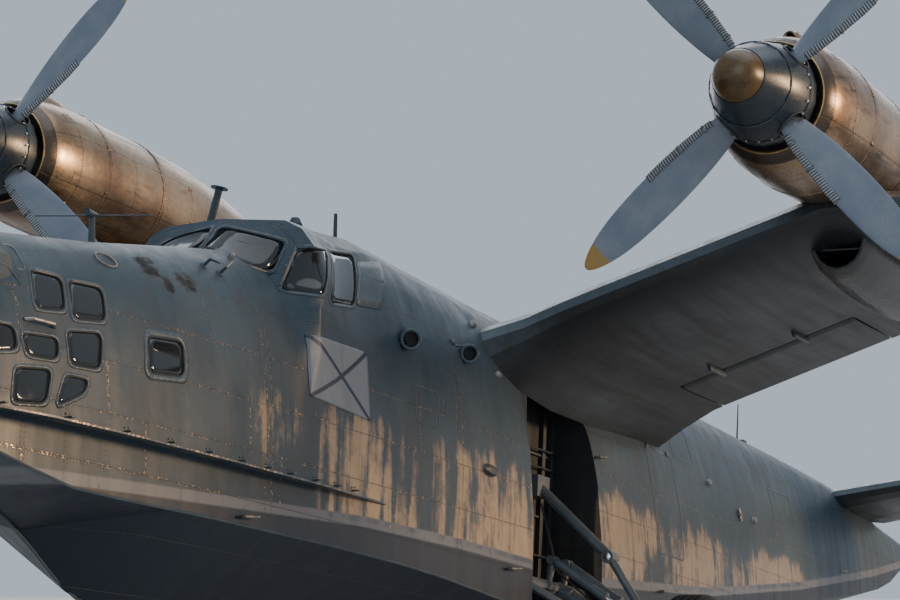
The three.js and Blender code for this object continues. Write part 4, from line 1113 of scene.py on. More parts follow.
flag = {
    "corners": [(-2.66, -2.79), (-1.48, -2.76), (-1.45, -3.44), (-2.66, -3.38)],
    "white": (0.12, 0.135, 0.155),
    "cross": (0.006, 0.013, 0.034),
    "arm": 0.05,
    "across": 30,
    "lift": 0.003,
}


def flagFinish():
    mat = newMaterial("flagPanel", specular=0.4)
    u, v, _ = split(newNode("UVMap").outputs[0])
    place = objectPlace()
    chips = cloud(place, 16, 6, 0.7)
    streaks = cloud(scaled(place, 6, 6, 0.5), 1.0, 5, 0.6)
    rising = absolute(minus(u, v))
    falling = absolute(minus(addUp(u, v), 1))
    arms = calc("MINIMUM", rising, falling)
    cross = near(arms, flag["arm"])
    worn = spread(chips, 0.6, 0.68)
    cross = times(cross, minus(1, worn))
    dirt = times(spread(streaks, 0.45, 0.75), 0.5)
    colour = mixed(dirt, flag["white"], (0.06, 0.07, 0.085))
    colour = mixed(cross, colour, flag["cross"])
    fill(
        colour=colour,
        rough=calc("MULTIPLY_ADD", chips, 0.3, 0.3),
        normal=raised(cloud(place, 2.6, 2), 0.5, 0.012),
    )
    return mat


def makeFlag():
    shape = bmesh.new()
    count = flag["across"]
    bmesh.ops.create_grid(shape, x_segments=count, y_segments=count, size=0.5, calc_uvs=False)
    layer = shape.loops.layers.uv.new("panel")
    topFront, topBack, lowBack, lowFront = [Vector(c) for c in flag["corners"]]
    for face in shape.faces:
        for loop in face.loops:
            loop[layer].uv = (loop.vert.co.x + 0.5, loop.vert.co.y + 0.5)
    for v in shape.verts:
        u, t = v.co.x + 0.5, v.co.y + 0.5
        spot = lowFront.lerp(lowBack, u).lerp(topFront.lerp(topBack, u), t)
        v.co = lifted(onSide(*spot), flag["lift"])
    thicken(addBoth("flagPanel", shape, "flag"), 0.001)


# Small fittings on the hull

fittings = {
    "wiper": {"foot": (0.5, -2.13), "blade": [(0.1, -1.86), (0.3, -2.0), (0.52, -2.1)], "lift": 0.035},
    "prongs": [[(-3.9, 0.62), (-3.88, 0.74)], [(-3.7, 0.68), (-3.53, 0.64)]],
    "strakeBrackets": (-7.2, -6.4, -5.6, -4.95, -4.35, -3.8, -3.35, -2.95, -2.5, -2.1, -1.75),
    "handles": [(-6.9, -6.52, -3.41)],
    "cleats": [(-3.7, -4.66), (1.8, -4.52), (6.2, -4.3)],
    "smallCaps": [(1.74, -2.44), (1.49, -1.93), (8.4, -2.7), (10.2, -2.95)],
    "capProfile": [(0, 0.05), (0.03, 0.046), (0.042, 0.03), (0.048, 0), (0, 0)],
    "strakeLine": -4.16,
    "hatches": [(0.9, -2.55, 0.62, 0.5), (6.6, -3.2, 0.9, 1.25)],
}


def makeScreenWiper():
    w = fittings["wiper"]
    steel, rubber = blanks(2)
    foot, normal = onCanopy(*w["foot"])
    addTurned(steel, [(0, 0.05), (0.02, 0.05), (0.026, 0.04), (0.03, 0.0), (0, 0)],
              standing(foot, normal), 16)
    head, middle, heel = [lifted(onCanopy(*spot), w["lift"]) for spot in w["blade"]]
    addRod(steel, [foot + normal * 0.045, foot.lerp(middle, 0.5) + normal * 0.065, middle + normal * 0.015],
           0.008, 8)
    for shape, lift, radius in ((steel, 0.012, 0.006), (rubber, -0.01, 0.008)):
        addRod(shape, [p + normal * lift for p in (head, middle, heel)], radius, 6)
    addBoth("screenWipers", steel, "fitting")
    addBoth("wiperBlades", rubber, "rubber")


def makeHullFittings():
    f = fittings
    steel, painted = blanks(2)
    for start, end in f["prongs"]:
        a, na = onTop(start[1], start[0])
        b, _ = onTop(end[1], end[0])
        addRod(painted, [a, a + na * 0.1, a + na * 0.16 + (b - a) * 0.5], 0.016, 8, tip=0.6)
        addTurned(painted, [(0, 0.02), (0.035, 0.02), (0.045, 0), (0, 0)], standing(a, na), 12)
    for s in f["strakeBrackets"]:
        point, normal = onSide(s, f["strakeLine"])
        place = standing(point, normal, lift=0.02)
        addBlock(painted, (0.016, 0.05, 0.09), place, 0.004)
        for push in (-0.03, 0.03):
            addBolt(painted, point + Vector((0, push, 0.03)), normal, 0.009, 0.008)
    for back, front, h in f["handles"]:
        line = []
        for k in range(7):
            line.append(lifted(onSide(back + (front - back) * k / 6, h), 0.05 if 0 < k < 6 else 0.0))
        addRod(steel, line, 0.017, 10)
    for s, h in f["cleats"]:
        point, normal = onSide(s, h)
        place = standing(point, normal)
        for push in (-0.05, 0.05):
            addBlock(steel, (0.03, 0.03, 0.07), place @ Matrix.Translation((0, push, 0.03)), 0.006)
        bar = place @ Matrix.Translation((0, 0, 0.07))
        addRod(steel, [bar @ Vector((0, -0.13, 0)), bar @ Vector((0, 0.13, 0))], 0.016, 10)
    for s, h in f["smallCaps"]:
        addTurned(steel, f["capProfile"], standing(*onSide(s, h)), 16)
    addBoth("hullFittings", steel, "fitting")
    addBoth("hullBrackets", painted, "frame")
    seams = bmesh.new()
    for s, h, long, high in f["hatches"]:
        outline = rounded(rectangle(s, h, long, high), 0.06, 0.06)
        addStrip(seams, outline, grown(outline, 0.022), onSide, 0.0006)
        for k in (0, 1):
            point, normal = onSide(s - long * 0.4 + long * 0.8 * k, h + high * 0.5 + 0.03)
            addBlock(seams, (0.05, 0.09, 0.016), standing(point, normal, lift=0.006), 0.004)
    thicken(addBoth("hatchEdges", seams, "frame"), 0.0022)
    print("hull fittings placed")


# Air inlets and the side vent: rims and gratings

openings = {
    "inlets": [((1.15, -0.66, -2.485), (0.95, -0.4, -2.425), 0.1),
               ((1.09, 0.83, -2.37), (0.89, 1.09, -2.31), 0.092)],
    "vent": {"place": (1.24, -3.547), "long": 0.165, "high": 0.062, "steps": 28,
             "cap": ((1.0, 0.0), (0.93, 0.03), (0.75, 0.048), (0.4, 0.056))},
}


def makeOpenings():
    rims, grates, cap = blanks(3)
    for mouth, root, radius in openings["inlets"]:
        mouth, root = at(*mouth), at(*root)
        place = aimed(mouth, mouth * 2 - root)
        addTurned(rims, [(radius - 0.02, -0.06), (radius - 0.02, 0.006), (radius, 0.014),
                         (radius + 0.012, 0.004), (radius + 0.012, -0.05)], place, 32)
        for k in range(-2, 3):
            off = k * 0.028
            span = math.sqrt((radius - 0.024) ** 2 - off ** 2)
            for bar in ([(off, -span, -0.045), (off, span, -0.045)],
                        [(-span, off, -0.045), (span, off, -0.045)]):
                addRod(grates, [place @ Vector(p) for p in bar], 0.003, 6)
    v = openings["vent"]
    s0, h0 = v["place"]
    long, high = v["long"], v["high"]
    _, onPane = acrossOpening(rectangle(s0, h0, 2 * long, 2 * high), "side")
    rings = []
    for share, lift in v["cap"]:
        ring = [(s0 + long * share * across, h0 + high * share * up) for across, up in circle(v["steps"])]
        rings.append([lifted(onPane(*spot), lift) for spot in ring])
    addLoopRod(rims, rings[0], 0.01, 8)
    addLoft(cap, rings)
    addBoth("ventCovers", cap, "cover")
    addBoth("inletRims", rims, "frame")
    addBoth("inletGrates", grates, "black")


# Propellers: blades with ribbed boots on their leading edges, rims at their roots, spinner bands and dome

blade = {
    # distance from the shaft, chord, thickness, twist in degrees
    "rows": [(0.3, 0.2, 0.15, 41), (0.45, 0.27, 0.122, 34), (0.62, 0.34, 0.092, 27), (0.92, 0.41, 0.074, 20),
             (1.25, 0.45, 0.056, 13), (1.6, 0.455, 0.045, 9), (1.9, 0.425, 0.037, 6), (2.1, 0.375, 0.03, 4.5),
             (2.26, 0.3, 0.022, 3.5), (2.38, 0.215, 0.017, 3), (2.46, 0.125, 0.012, 2),
             (2.497, 0.045, 0.009, 2)],
    "sectionPoints": 16,
    "boot": (0.56, 1.42),
    "bootAngle": 48,
    "rib": 0.0145,
    "ribRows": 118,
    "clips": (0.66, 0.98),
    "turn": {"left": 2.0, "right": -1.5},
    "rootHole": (0.158, 0.15),
    "spinnerLine": [(-0.32, 0.43), (0.0, 0.515), (0.17, 0.52)],
    # profiles as radius, place along the shaft
    "hub": [(0, 0.15), (0.33, 0.15), (0.345, 0.135), (0.345, -0.14), (0.16, -0.15), (0.16, -0.25),
            (0, -0.25)],
    "dome": [(0.272, 0.648), (0.268, 0.668), (0.245, 0.74), (0.205, 0.82), (0.15, 0.878), (0.085, 0.907),
             (0, 0.915)],
    "domeRing": [(0.276, 0.64), (0.282, 0.648), (0.276, 0.657), (0.27, 0.652)],
    "bands": [(0.432, 0.318), (0.517, -0.01)],
    "boltRing": (0.515, 0.03),
}


def bladeRow(r):
    rows = blade["rows"]
    k = next(i for i in range(1, len(rows)) if r <= rows[i][0])
    share = (r - rows[k - 1][0]) / (rows[k][0] - rows[k - 1][0])
    return [p + (q - p) * share for p, q in zip(rows[k - 1][1:], rows[k][1:])]


# A point on the blade, by the angle round its section: 0 is the leading edge
def onBlade(r, angle, lift=0.0):
    chord, thick, twist = bladeRow(r)
    c = chord / 2 * math.cos(angle)
    t = thick / 2 * math.sin(angle) * (0.78 + 0.22 * math.cos(angle))
    out = Vector((math.cos(angle) / chord, math.sin(angle) / thick)).normalized() * lift
    turn = math.radians(twist)
    c, t = c + out[0], t + out[1]
    return Vector((c * math.cos(turn) + t * math.sin(turn), t * math.cos(turn) - c * math.sin(turn), r))


def bladePlace(side, sign, k):
    turn = math.radians(45 + 90 * k + blade["turn"][side])
    return toWorld @ Matrix.Translation((sign * airframe["engineX"], 0, 0)) @ Matrix.Rotation(turn, 4, "Y")


# Local z runs forward along the shaft
def hubPlace(sign):
    middle = at(sign * airframe["engineX"], 0, 0)
    return Matrix.Translation(middle) @ Matrix.Rotation(quarter - pitch, 4, "X")


def makeBlades(side, sign):
    shape = bmesh.new()
    count = blade["sectionPoints"]
    turns = [2 * math.pi * i / count for i in range(count)]
    for k in range(4):
        place = bladePlace(side, sign, k)
        addLoft(shape, [[place @ onBlade(row[0], a) for a in turns] for row in blade["rows"]], True)
    addTurned(shape, blade["hub"], hubPlace(sign), 36)
    piece = addPiece("propellerBlades_" + side, shape, "blade", "propeller_" + side, 50)
    soften(piece)
    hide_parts("propeller_" + side)


def makeBoots(side, sign):
    wrap = math.radians(blade["bootAngle"])
    boots, clips, rims = blanks(3)
    low, high = blade["boot"]
    rows = blade["ribRows"]
    line = blade["spinnerLine"]
    for k in range(4):
        place = bladePlace(side, sign, k)
        made = bmesh.ops.create_grid(boots, x_segments=rows, y_segments=8, size=0.5)["verts"]
        for v in made:
            row = round((v.co.x + 0.5) * rows)
            lift = 0.006 if row % 4 in (1, 2) else 0.004
            v.co = place @ onBlade(low + (high - low) * row / rows, v.co.y * 2 * wrap, lift)
        for r in blade["clips"]:
            addRod(clips, [place @ onBlade(r, (i / 5 - 1) * wrap * 1.1, 0.009) for i in range(11)], 0.01, 8)
        loop = []
        for across, up in circle(36):
            x, y = blade["rootHole"][0] * across, blade["rootHole"][1] * up
            pair = line[:2] if y < 0 else line[1:]
            share = (y - pair[0][0]) / (pair[1][0] - pair[0][0])
            radius = pair[0][1] + (pair[1][1] - pair[0][1]) * share
            loop.append(place @ Vector((x, y, math.sqrt(radius * radius - x * x))))
        addLoopRod(rims, loop, 0.011, 8)
    body = "propeller_" + side
    thicken(addPiece("bladeBoots_" + side, boots, "boot", body), 0.0015)
    addPiece("bootClips_" + side, clips, "fitting", body)
    addPiece("bladeRootRims_" + side, rims, "black", body)


def makeSpinnerTrim(side, sign):
    dark, dome, bolts = blanks(3)
    hub = hubPlace(sign)
    addTurned(dome, blade["dome"], hub, 40)
    addTurned(dark, blade["domeRing"], hub, 48)
    for radius, along in blade["bands"]:
        addTurned(dark, [(radius - 0.003, along + 0.008), (radius + 0.0035, along + 0.006),
                         (radius + 0.0035, along - 0.006), (radius - 0.003, along - 0.008)], hub, 56)
    radius, along = blade["boltRing"]
    for across, up in circle(24):
        out = hub.to_3x3() @ Vector((across, up, 0.3)).normalized()
        addBolt(bolts, hub @ Vector((radius * across, radius * up, along)), out, 0.012, 0.006, 8)
    body = "propeller_" + side
    addPiece("spinnerDome_" + side, dome, "dome", body)
    addPiece("spinnerBands_" + side, dark, "spinner", body)
    addPiece("spinnerBolts_" + side, bolts, "steel", body)


# Tyres with grooves and treads, and hubs with their bolts

wheels = {
    "main": {"grooves": (-0.12, -0.045, 0.045, 0.12), "bolts": 10},
    "tail": {"grooves": (-0.04, 0.04), "bolts": 6},
}


def makeTyre(name, node, body, spec):
    low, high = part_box(node)
    middle = (low + high) / 2
    radius, half = (high.z - low.z) / 2 - 0.004, (high.x - low.x) / 2 - 0.002
    rim = radius * 0.54
    profile = [(rim, -half * 0.72), (rim + 0.02, -half * 0.8), (rim + (radius - rim) * 0.35, -half * 0.98),
               (rim + (radius - rim) * 0.6, -half), (rim + (radius - rim) * 0.8, -half * 0.93),
               (radius - 0.022, -half * 0.78), (radius - 0.004, -half * 0.62)]
    for groove in spec["grooves"]:
        profile += [(radius, groove - 0.012), (radius - 0.014, groove - 0.009),
                    (radius - 0.014, groove + 0.009), (radius, groove + 0.012)]
    profile += [(r, -z) for r, z in reversed(profile[:7])]
    shape = bmesh.new()
    addTurned(shape, profile + [profile[0]],
              Matrix.Translation(middle) @ Matrix.Rotation(quarter, 4, "Y"), 72)
    piece = addPiece(name, shape, "rubber", body)
    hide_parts(node)


def makeHubTrim(name, node, body, spec, outward):
    low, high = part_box(node)
    middle = (low + high) / 2
    half, radius = (high.x - low.x) / 2, (high.z - low.z) / 2
    shape = bmesh.new()
    for sign in (1, -1) if outward == 0 else (outward,):
        turn = Matrix.Rotation(quarter * sign, 4, "Y")
        spots = [middle + Vector((sign * half * out, 0, 0)) for out in (0.55, 0.9)]
        face, lip = [Matrix.Translation(spot) @ turn for spot in spots]
        for across, up in circle(spec["bolts"]):
            spot = face @ Vector((radius * 0.62 * across, radius * 0.62 * up, 0))
            addBolt(shape, spot, Vector((sign, 0, 0)), 0.018, 0.02)
        addTurned(shape, [(0, 0.05), (radius * 0.16, 0.045), (radius * 0.2, 0.02), (radius * 0.21, -0.02)],
                  face, 24)
        addTurned(shape, [(radius * 0.93, 0.012), (radius * 0.97, 0.022), (radius * 0.99, 0.012),
                          (radius * 0.96, 0.0)],
                  lip, 40)
    addPiece(name, shape, "steel", body)


def makeWheels():
    for side, sign in (("left", 1), ("right", -1)):
        makeTyre("mainTyre_" + side, "tyre_" + side, "main_wheel_" + side, wheels["main"])
        makeHubTrim("hubTrim_" + side, "wheel_hub_" + side, "main_wheel_" + side, wheels["main"], sign)
    makeTyre("tailTyre", "tail_tyre", "tail_wheel", wheels["tail"])
    makeHubTrim("tailHubTrim", "tail_wheel_hub", "tail_wheel", wheels["tail"], 0)
    print("wheels made")


# Seats: a metal shell on a post, with sewn cushions

seat = {
    "nodes": ["navigator_seat", "pilot_seat_left", "pilot_seat_right"],
    "under": 0.24,  # from the floor to the pan
    "lean": 6.0,
    "sewn": 0.008,
    "post": [(0, -0.24), (0.09, -0.24), (0.09, -0.225), (0.05, -0.2), (0.042, -0.04), (0.08, -0.012),
             (0, -0.012)],
    "armRest": [(-0.2, 0.0), (-0.21, 0.14), (0.0, 0.17), (0.24, 0.18)],
    "cushions": {
        # size, middle, leaning, channels
        "Pan": ((0.41, 0.45, 0.12), (0, -0.005, 0.062), False, (-0.28, -0.05, 0.18)),
        "Back": ((0.39, 0.64, 0.1), (0, 0.213, 0.43), True, (-0.3, -0.1, 0.1, 0.3)),
        "Head": ((0.22, 0.155, 0.06), (0, 0.275, 0.855), True, ()),
    },
}


# A cushion, crowned on both faces, its sides pulled in between the corners, with sewn channels across
def addCushion(shape, size, place, channels):
    made = bmesh.ops.create_cube(shape, size=2)["verts"]
    edges = list({e for v in made for e in v.link_edges})
    bmesh.ops.subdivide_edges(shape, edges=edges, cuts=15, use_grid_fill=True)
    wide, long, thick = size
    for v in shape.verts:
        x, y, z = v.co
        crown = (1 - abs(x) ** 4) * (1 - abs(y) ** 4)
        pull = 1 - 0.05 * z * z
        v.co.x = wide / 2 * x * (1 - 0.035 * (1 - y * y)) * pull
        v.co.y = long / 2 * y * (1 - 0.035 * (1 - x * x)) * pull
        v.co.z = thick / 2 * z * (0.55 + 0.45 * crown)
        for channel in channels:
            sunk = math.copysign(seat["sewn"], z) * math.exp(-((y - channel * 2) / 0.07) ** 2)
            v.co.z -= sunk * min(1, abs(z)) * crown
    bmesh.ops.transform(shape, matrix=place, verts=shape.verts)


def makeSeats():
    for node in seat["nodes"]:
        toAir = toWorld.inverted()
        spots = [toAir @ v.co for v in nodes[node].data.vertices]
        low = Vector([min(p[i] for p in spots) for i in range(3)])
        high = Vector([max(p[i] for p in spots) for i in range(3)])
        base = toWorld @ Matrix.Translation(((low.x + high.x) / 2, low.y + seat["under"],
                                             low.z + seat["under"]))
        lean = Matrix.Rotation(math.radians(90 - seat["lean"]), 4, "X")
        for part, (size, middle, leaning, channels) in seat["cushions"].items():
            place = base @ Matrix.Translation(middle) @ (lean if leaning else Matrix.Identity(4))
            shape, piping = blanks(2)
            addCushion(shape, size, place, channels)
            outline = rounded(rectangle(0, 0, size[0], size[1]), 0.04, 0.04)
            for side in (-1, 1):
                line = [place @ Vector((u * 0.95, v * 0.95, side * size[2] * 0.3)) for u, v in outline]
                addLoopRod(piping, line, 0.005, 6)
            name = "cushion" + part + "_" + node
            cushion = addPiece(name, shape, "fabric", "airframe", 180)
            soften(cushion)
            addPiece("piping" + part + "_" + node, piping, "black", "airframe")
            if part == "Back":
                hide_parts(node)
        shell = bmesh.new()
        addBlock(shell, (0.43, 0.47, 0.016), base @ Matrix.Translation((0, -0.005, -0.004)), 0.006)
        addBlock(shell, (0.41, 0.68, 0.014), base @ Matrix.Translation((0, 0.272, 0.43)) @ lean, 0.006)
        addTurned(shell, seat["post"], base @ Matrix.Translation((0, 0.03, 0)), 20)
        for x in (-0.2, 0.2):
            addRod(shell, [base @ Vector((x, y, z)) for y, z in seat["armRest"]], 0.01, 8)
            addRod(shell, [base @ Vector((x * 0.35, y, z)) for y, z in ((0.262, 0.7), (0.29, 0.86))], 0.007,
                   8)
        addPiece("seatFrame_" + node, shell, "steel", "airframe")
    print("seats upholstered")


# Cockpit: dials on the panel, control wheels on their columns

cockpit = {
    "panelFoot": (-2.54, -2.48),
    "panelHead": (-2.49, -2.19),
    "dialRows": [(0.3, 0.038), (0.68, 0.045)],  # share of the panel's height, radius
    "dials": 9,
    "dialSpan": (-0.47, 0.94),  # x of the first, from the first to the last
    "wheelX": 0.39,
    "column": [(-2.3, -3.02), (-2.2, -2.86), (-2.2, -2.62)],
}


def makeCockpit():
    c = cockpit
    foot, head = Vector((0, *c["panelFoot"])), Vector((0, *c["panelHead"]))
    out = Vector((0, 1, -(head.y - foot.y) / (head.z - foot.z))).normalized()
    bezels, faces = blanks(2)
    layer = faces.loops.layers.uv.new("dial")
    for share, radius in c["dialRows"]:
        for k in range(c["dials"]):
            spot = foot.lerp(head, share)
            spot.x = c["dialSpan"][0] + c["dialSpan"][1] * k / (c["dials"] - 1)
            place = standing(at(*spot), toWorld.to_3x3() @ out, (0, 0, 1), 0.001)
            addTurned(bezels, [(radius - 0.005, 0), (radius - 0.005, 0.01), (radius + 0.003, 0.009),
                               (radius + 0.005, 0)], place, 20)
            ring = bmesh.ops.create_circle(faces, cap_ends=True, segments=20, radius=radius - 0.005)["verts"]
            for v in ring:
                for loop in v.link_loops:
                    loop[layer].uv = (v.co.x / radius, v.co.y / radius)
            bmesh.ops.transform(faces, matrix=place @ Matrix.Translation((0, 0, 0.004)), verts=ring)
    addPiece("dialRims", bezels, "steel", "airframe")
    thicken(addPiece("dialFaces", faces, "dial", "airframe"), 0.001)
    yokes = bmesh.new()
    for sign in (-1, 1):
        x = sign * c["wheelX"]
        addRod(yokes, [at(x, s, h) for s, h in c["column"]], 0.02, 10)
        rim = [at(x + 0.15 * math.cos(a), -2.17, -2.56 + 0.12 * math.sin(a)) for a in
               [math.radians(-230 + 28 * k) for k in range(11)]]
        addRod(yokes, rim, 0.013, 8)
        addRod(yokes, [rim[0], at(x, -2.17, -2.6), rim[-1]], 0.012, 8)
        addRod(yokes, [at(x, -2.2, -2.62), at(x, -2.16, -2.6)], 0.03, 12)
    addPiece("controlWheels", yokes, "black", "airframe")
    print("cockpit fitted")


# Nacelles: rings at the front, access plates, latches, the exhaust's lip and the coolers' mouths

cowlTrim = {
    "plates": {"s": 0.72, "count": 12, "size": (0.085, 0.11, 0.005)},
    "latches": {"rings": (1.36, 2.6, 3.3), "angles": (20, 65, 115, 160, 200, 340),
                "size": (0.035, 0.09, 0.014)},
    "rings": [(1.36, 0.75), (2.6, 0.7165)],  # station, radius of the cowling there
    "lip": (6.75, 0.292),
    # profiles as radius, place along the shaft
    "gold": [(0.556, 0.222), (0.572, 0.212), (0.58, 0.222), (0.576, 0.238), (0.56, 0.24), (0.556, 0.222)],
    # a black ring closing the intake behind the spinner: painted shade inside the intake
    "intakeShadeRing": [(0.42, 0.47), (0.648, 0.47), (0.648, 0.475), (0.42, 0.475), (0.42, 0.47)],
    "pipeBand": [(0.327, 6.4), (0.34, 6.4), (0.34, 6.43), (0.322, 6.43)],
    "pipeCone": [(0.0, 6.36), (0.298, 6.36), (0.298, 6.37), (0.09, 6.4), (0.05, 6.52), (0, 6.56)],
    "scoop": {"s": 0.758, "h": 0.64, "wide": 0.096, "high": 0.186},
    "cooler": {"s": 2.385, "h": -1.0, "wide": 0.29, "high": 0.32},
}
shaft = toWorld @ Matrix.Translation((airframe["engineX"], 0, 0)) @ Matrix.Rotation(-quarter, 4, "X")


def onCowl(s, angle):
    a = math.radians(angle)
    side, up = math.cos(a), math.sin(a)
    return meet("nacelle", (airframe["engineX"] + 2 * side, s, 2 * up), (-side, 0, -up), 2.2, 1.3)


def makeNacelleTrim():
    c = cowlTrim
    gold, dark, plates, hot, mouth = blanks(5)
    addTurned(gold, c["gold"], shaft, 64)
    # the black intake ring is painted shade; the other dark pieces are the exhaust cone, its struts and the
    # cooler grid
    addTurned(dark, c["intakeShadeRing"], shaft, 48)
    for s, radius in c["rings"]:
        addTurned(plates, [(radius - 0.002, s - 0.03), (radius + 0.004, s - 0.028),
                           (radius + 0.004, s + 0.028), (radius - 0.002, s + 0.03)], shaft, 64)
    p = c["plates"]
    for k in range(p["count"]):
        angle = 15 + 360 * k / p["count"]
        point, normal = onCowl(p["s"], angle)
        place = standing(point, normal, lift=0.001)
        addBlock(plates, p["size"], place, 0.002, 1)
        for u in (-0.032, 0.032):
            for v in (-0.043, 0.043):
                addBolt(plates, place @ Vector((u, v, 0.002)), normal, 0.006, 0.003, 6)
    for s in c["latches"]["rings"]:
        for angle in c["latches"]["angles"]:
            addBlock(plates, c["latches"]["size"], standing(*onCowl(s, angle), lift=0.004), 0.004)
    s, radius = c["lip"]
    addTurned(hot, [(radius - 0.014, s - 0.006), (radius - 0.01, s + 0.007), (radius, s + 0.011),
                    (radius + 0.01, s + 0.005), (radius + 0.012, s - 0.02), (radius - 0.014, s - 0.006)],
                    shaft, 48)
    addTurned(hot, c["pipeBand"], shaft, 48)
    addTurned(dark, c["pipeCone"], shaft, 32)
    for across, up in circle(16):
        spot = Vector((across, up, 0))
        addBolt(hot, shaft @ (spot * 0.338 + Vector((0, 0, 6.415))), shaft.to_3x3() @ spot, 0.01, 0.008, 6)
        addRod(dark, [shaft @ (spot * out + Vector((0, 0, 6.42))) for out in (0.08, 0.295)], 0.007, 6)
    x0 = airframe["engineX"]
    for p, shape, radius, turns in (
            (c["scoop"], plates, 0.011, [math.pi * k / 16 for k in range(17)]),
            (c["cooler"], mouth, 0.016, [math.pi + math.pi * k / 24 for k in range(25)])):
        arch = [at(x0 + p["wide"] * math.cos(a), p["s"], p["h"] + p["high"] * math.sin(a)) for a in turns]
        addRod(shape, arch, radius, 8)
    addRod(mouth, [at(x0 - 0.285, 2.45, -1.09), at(x0 + 0.285, 2.45, -1.09)], 0.012, 8)
    for k in range(-5, 6):
        x = k * 0.04
        deep = 0.22 * math.sqrt(max(0.0, 1 - (x / 0.24) ** 2))
        addRod(dark, [at(x0 + x, 3.0, -1.02), at(x0 + x, 3.0, -1.02 - deep)], 0.006, 6)
    for k in range(5):
        h = -1.04 - 0.045 * k
        half = 0.23 * math.sqrt(max(0.05, 1 - ((h + 1.0) / 0.26) ** 2))
        addRod(dark, [at(x0 - half, 3.01, h), at(x0 + half, 3.01, h)], 0.005, 6)
    addBoth("cowlGoldRings", gold, "brass")
    addBoth("cowlDarkPartsAndIntakeShade", dark, "black")
    addBoth("cowlPlates", plates, "cowl")
    addBoth("exhaustLips", hot, "burnt")
    addBoth("coolerMouths", mouth, "cooler")
    print("nacelles dressed")


# Landing gear: shock struts, links, hoses and brakes on the legs, collars and nuts on the tail fork

leg = {
    "s": 3.56,
    "pivot": (0.96, -4.56),
    "knee": (2.23, -5.272),
    "elbow": (1.6, -4.2),
    "axle": -5.332,
    "strut": [(1.0, -4.25), (2.16, -5.0)],  # x, h of its top and its foot
    "hose": [(0.8, -3.6), (1.02, -4.36), (1.5, -4.74), (2.05, -5.05), (2.28, -5.16), (2.33, -5.27)],
    "brake": [(0.07, 0.0), (0.2, 0.0), (0.235, 0.006), (0.24, 0.03), (0.2, 0.036), (0.07, 0.036),
              (0.07, 0.0)],
}


def makeLegTrim():
    g = leg
    s = g["s"]
    painted, bright, hose, brake, fork, forkBright = blanks(6)
    for push in (-0.2, 0.2):
        top, low = [at(x, s + push, h) for x, h in g["strut"]]
        middle = top.lerp(low, 0.55)
        addRod(painted, [top, middle], 0.052, 14)
        addRod(bright, [middle, low], 0.03, 14)
        addTurned(painted, [(0.052, -0.02), (0.062, -0.015), (0.062, 0.02), (0.034, 0.03)],
                  aimed(middle, low), 18)
        addTurned(painted, [(0, -0.03), (0.05, -0.03), (0.055, 0), (0.05, 0.05), (0, 0.05)],
                  aimed(low, top), 14)
        addRod(painted, [at(1.0, s + push - 0.07, -4.25), at(1.0, s + push + 0.07, -4.25)], 0.05, 12)
        addRod(painted, [at(1.0, s + push, -4.25), at(0.96, s + push, -4.5)], 0.04, 10)
        addRod(painted, [at(2.16, s + push, -5.0), at(2.2, s + push * 0.3, -5.06)], 0.035, 10)
    pivot, knee = at(g["pivot"][0], s, g["pivot"][1]), at(g["knee"][0], s, g["knee"][1])
    run = (knee - pivot).normalized()
    for share in (0.12, 0.5, 0.86):
        wide = 0.108 - 0.01 * share
        here = pivot.lerp(knee, share)
        addTurned(painted, [(wide - 0.004, -0.03), (wide + 0.01, -0.026), (wide + 0.01, 0.026),
                            (wide - 0.004, 0.03)],
                  aimed(here, here + run), 24)
    for push in (-0.055, 0.055):
        link = aimed(at(2.2, s + push, -4.97), at(2.3, s + push, -5.3))
        addBlock(painted, (0.3, 0.022, 0.06), link @ Matrix.Rotation(quarter, 4, "Y"), 0.006)
    elbow = g["elbow"]
    for push in (-0.098, 0.098):
        place = aimed(at(elbow[0], s, elbow[1]), at(elbow[0], s + push, elbow[1]))
        addTurned(bright, [(0, 0.1), (0.03, 0.1), (0.045, 0.094), (0.05, 0.085), (0.05, 0.08)], place, 6)
    for push, r in ((-0.12, 0.011), (-0.15, 0.009)):
        nearer = [1, 1, 1, 1, 1, 0.9]
        addRod(hose, [at(x, s + push * n, h) for (x, h), n in zip(g["hose"], nearer)], r, 8)
    place = aimed(at(2.345, s, g["axle"]), at(2.4, s, g["axle"]))
    addTurned(brake, g["brake"], place, 40)
    for across, up in circle(8):
        addBolt(brake, place @ Vector((0.18 * across, 0.18 * up, 0.0)), place.to_3x3() @ Vector((0, 0, -1)),
                0.014, 0.01, 6)
    addBoth("legStruts", painted, "gear")
    addBoth("legPistons", bright, "chrome")
    addBoth("brakeHoses", hose, "rubber")
    addBoth("brakes", brake, "steel")
    low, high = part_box("tail_fork")
    wheelLow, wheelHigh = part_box("tail_tyre")
    centre = (wheelLow + wheelHigh) / 2
    for sign in (-1, 1):
        place = aimed(Vector((sign * (high.x - 0.006), centre.y, centre.z)),
                      Vector((sign * 2, centre.y, centre.z)))
        addTurned(forkBright, [(0, 0.022), (0.024, 0.02), (0.034, 0.01), (0.034, 0)], place, 6)
    post = Vector((0, centre.y - 0.13, centre.z + 0.66))
    for lift in (0.0, 0.12):
        addTurned(fork, [(0.088, -0.03), (0.106, -0.024), (0.106, 0.024), (0.088, 0.03)],
                  Matrix.Translation(post + Vector((0, 0, lift))), 28)
    addRod(fork, [post + Vector((0.13, -0.06, 0.02)), post + Vector((0.13, 0.1, 0.02))], 0.034, 12)
    addBlock(fork, (0.09, 0.05, 0.06), Matrix.Translation(post + Vector((0.1, 0, 0.02))), 0.008)
    addPiece("forkCollars", fork, "gear", "tail_fork")
    addPiece("forkNuts", forkBright, "steel", "tail_fork")
    print("landing gear dressed")


# Ribs, stringers and pipes inside the wheel wells

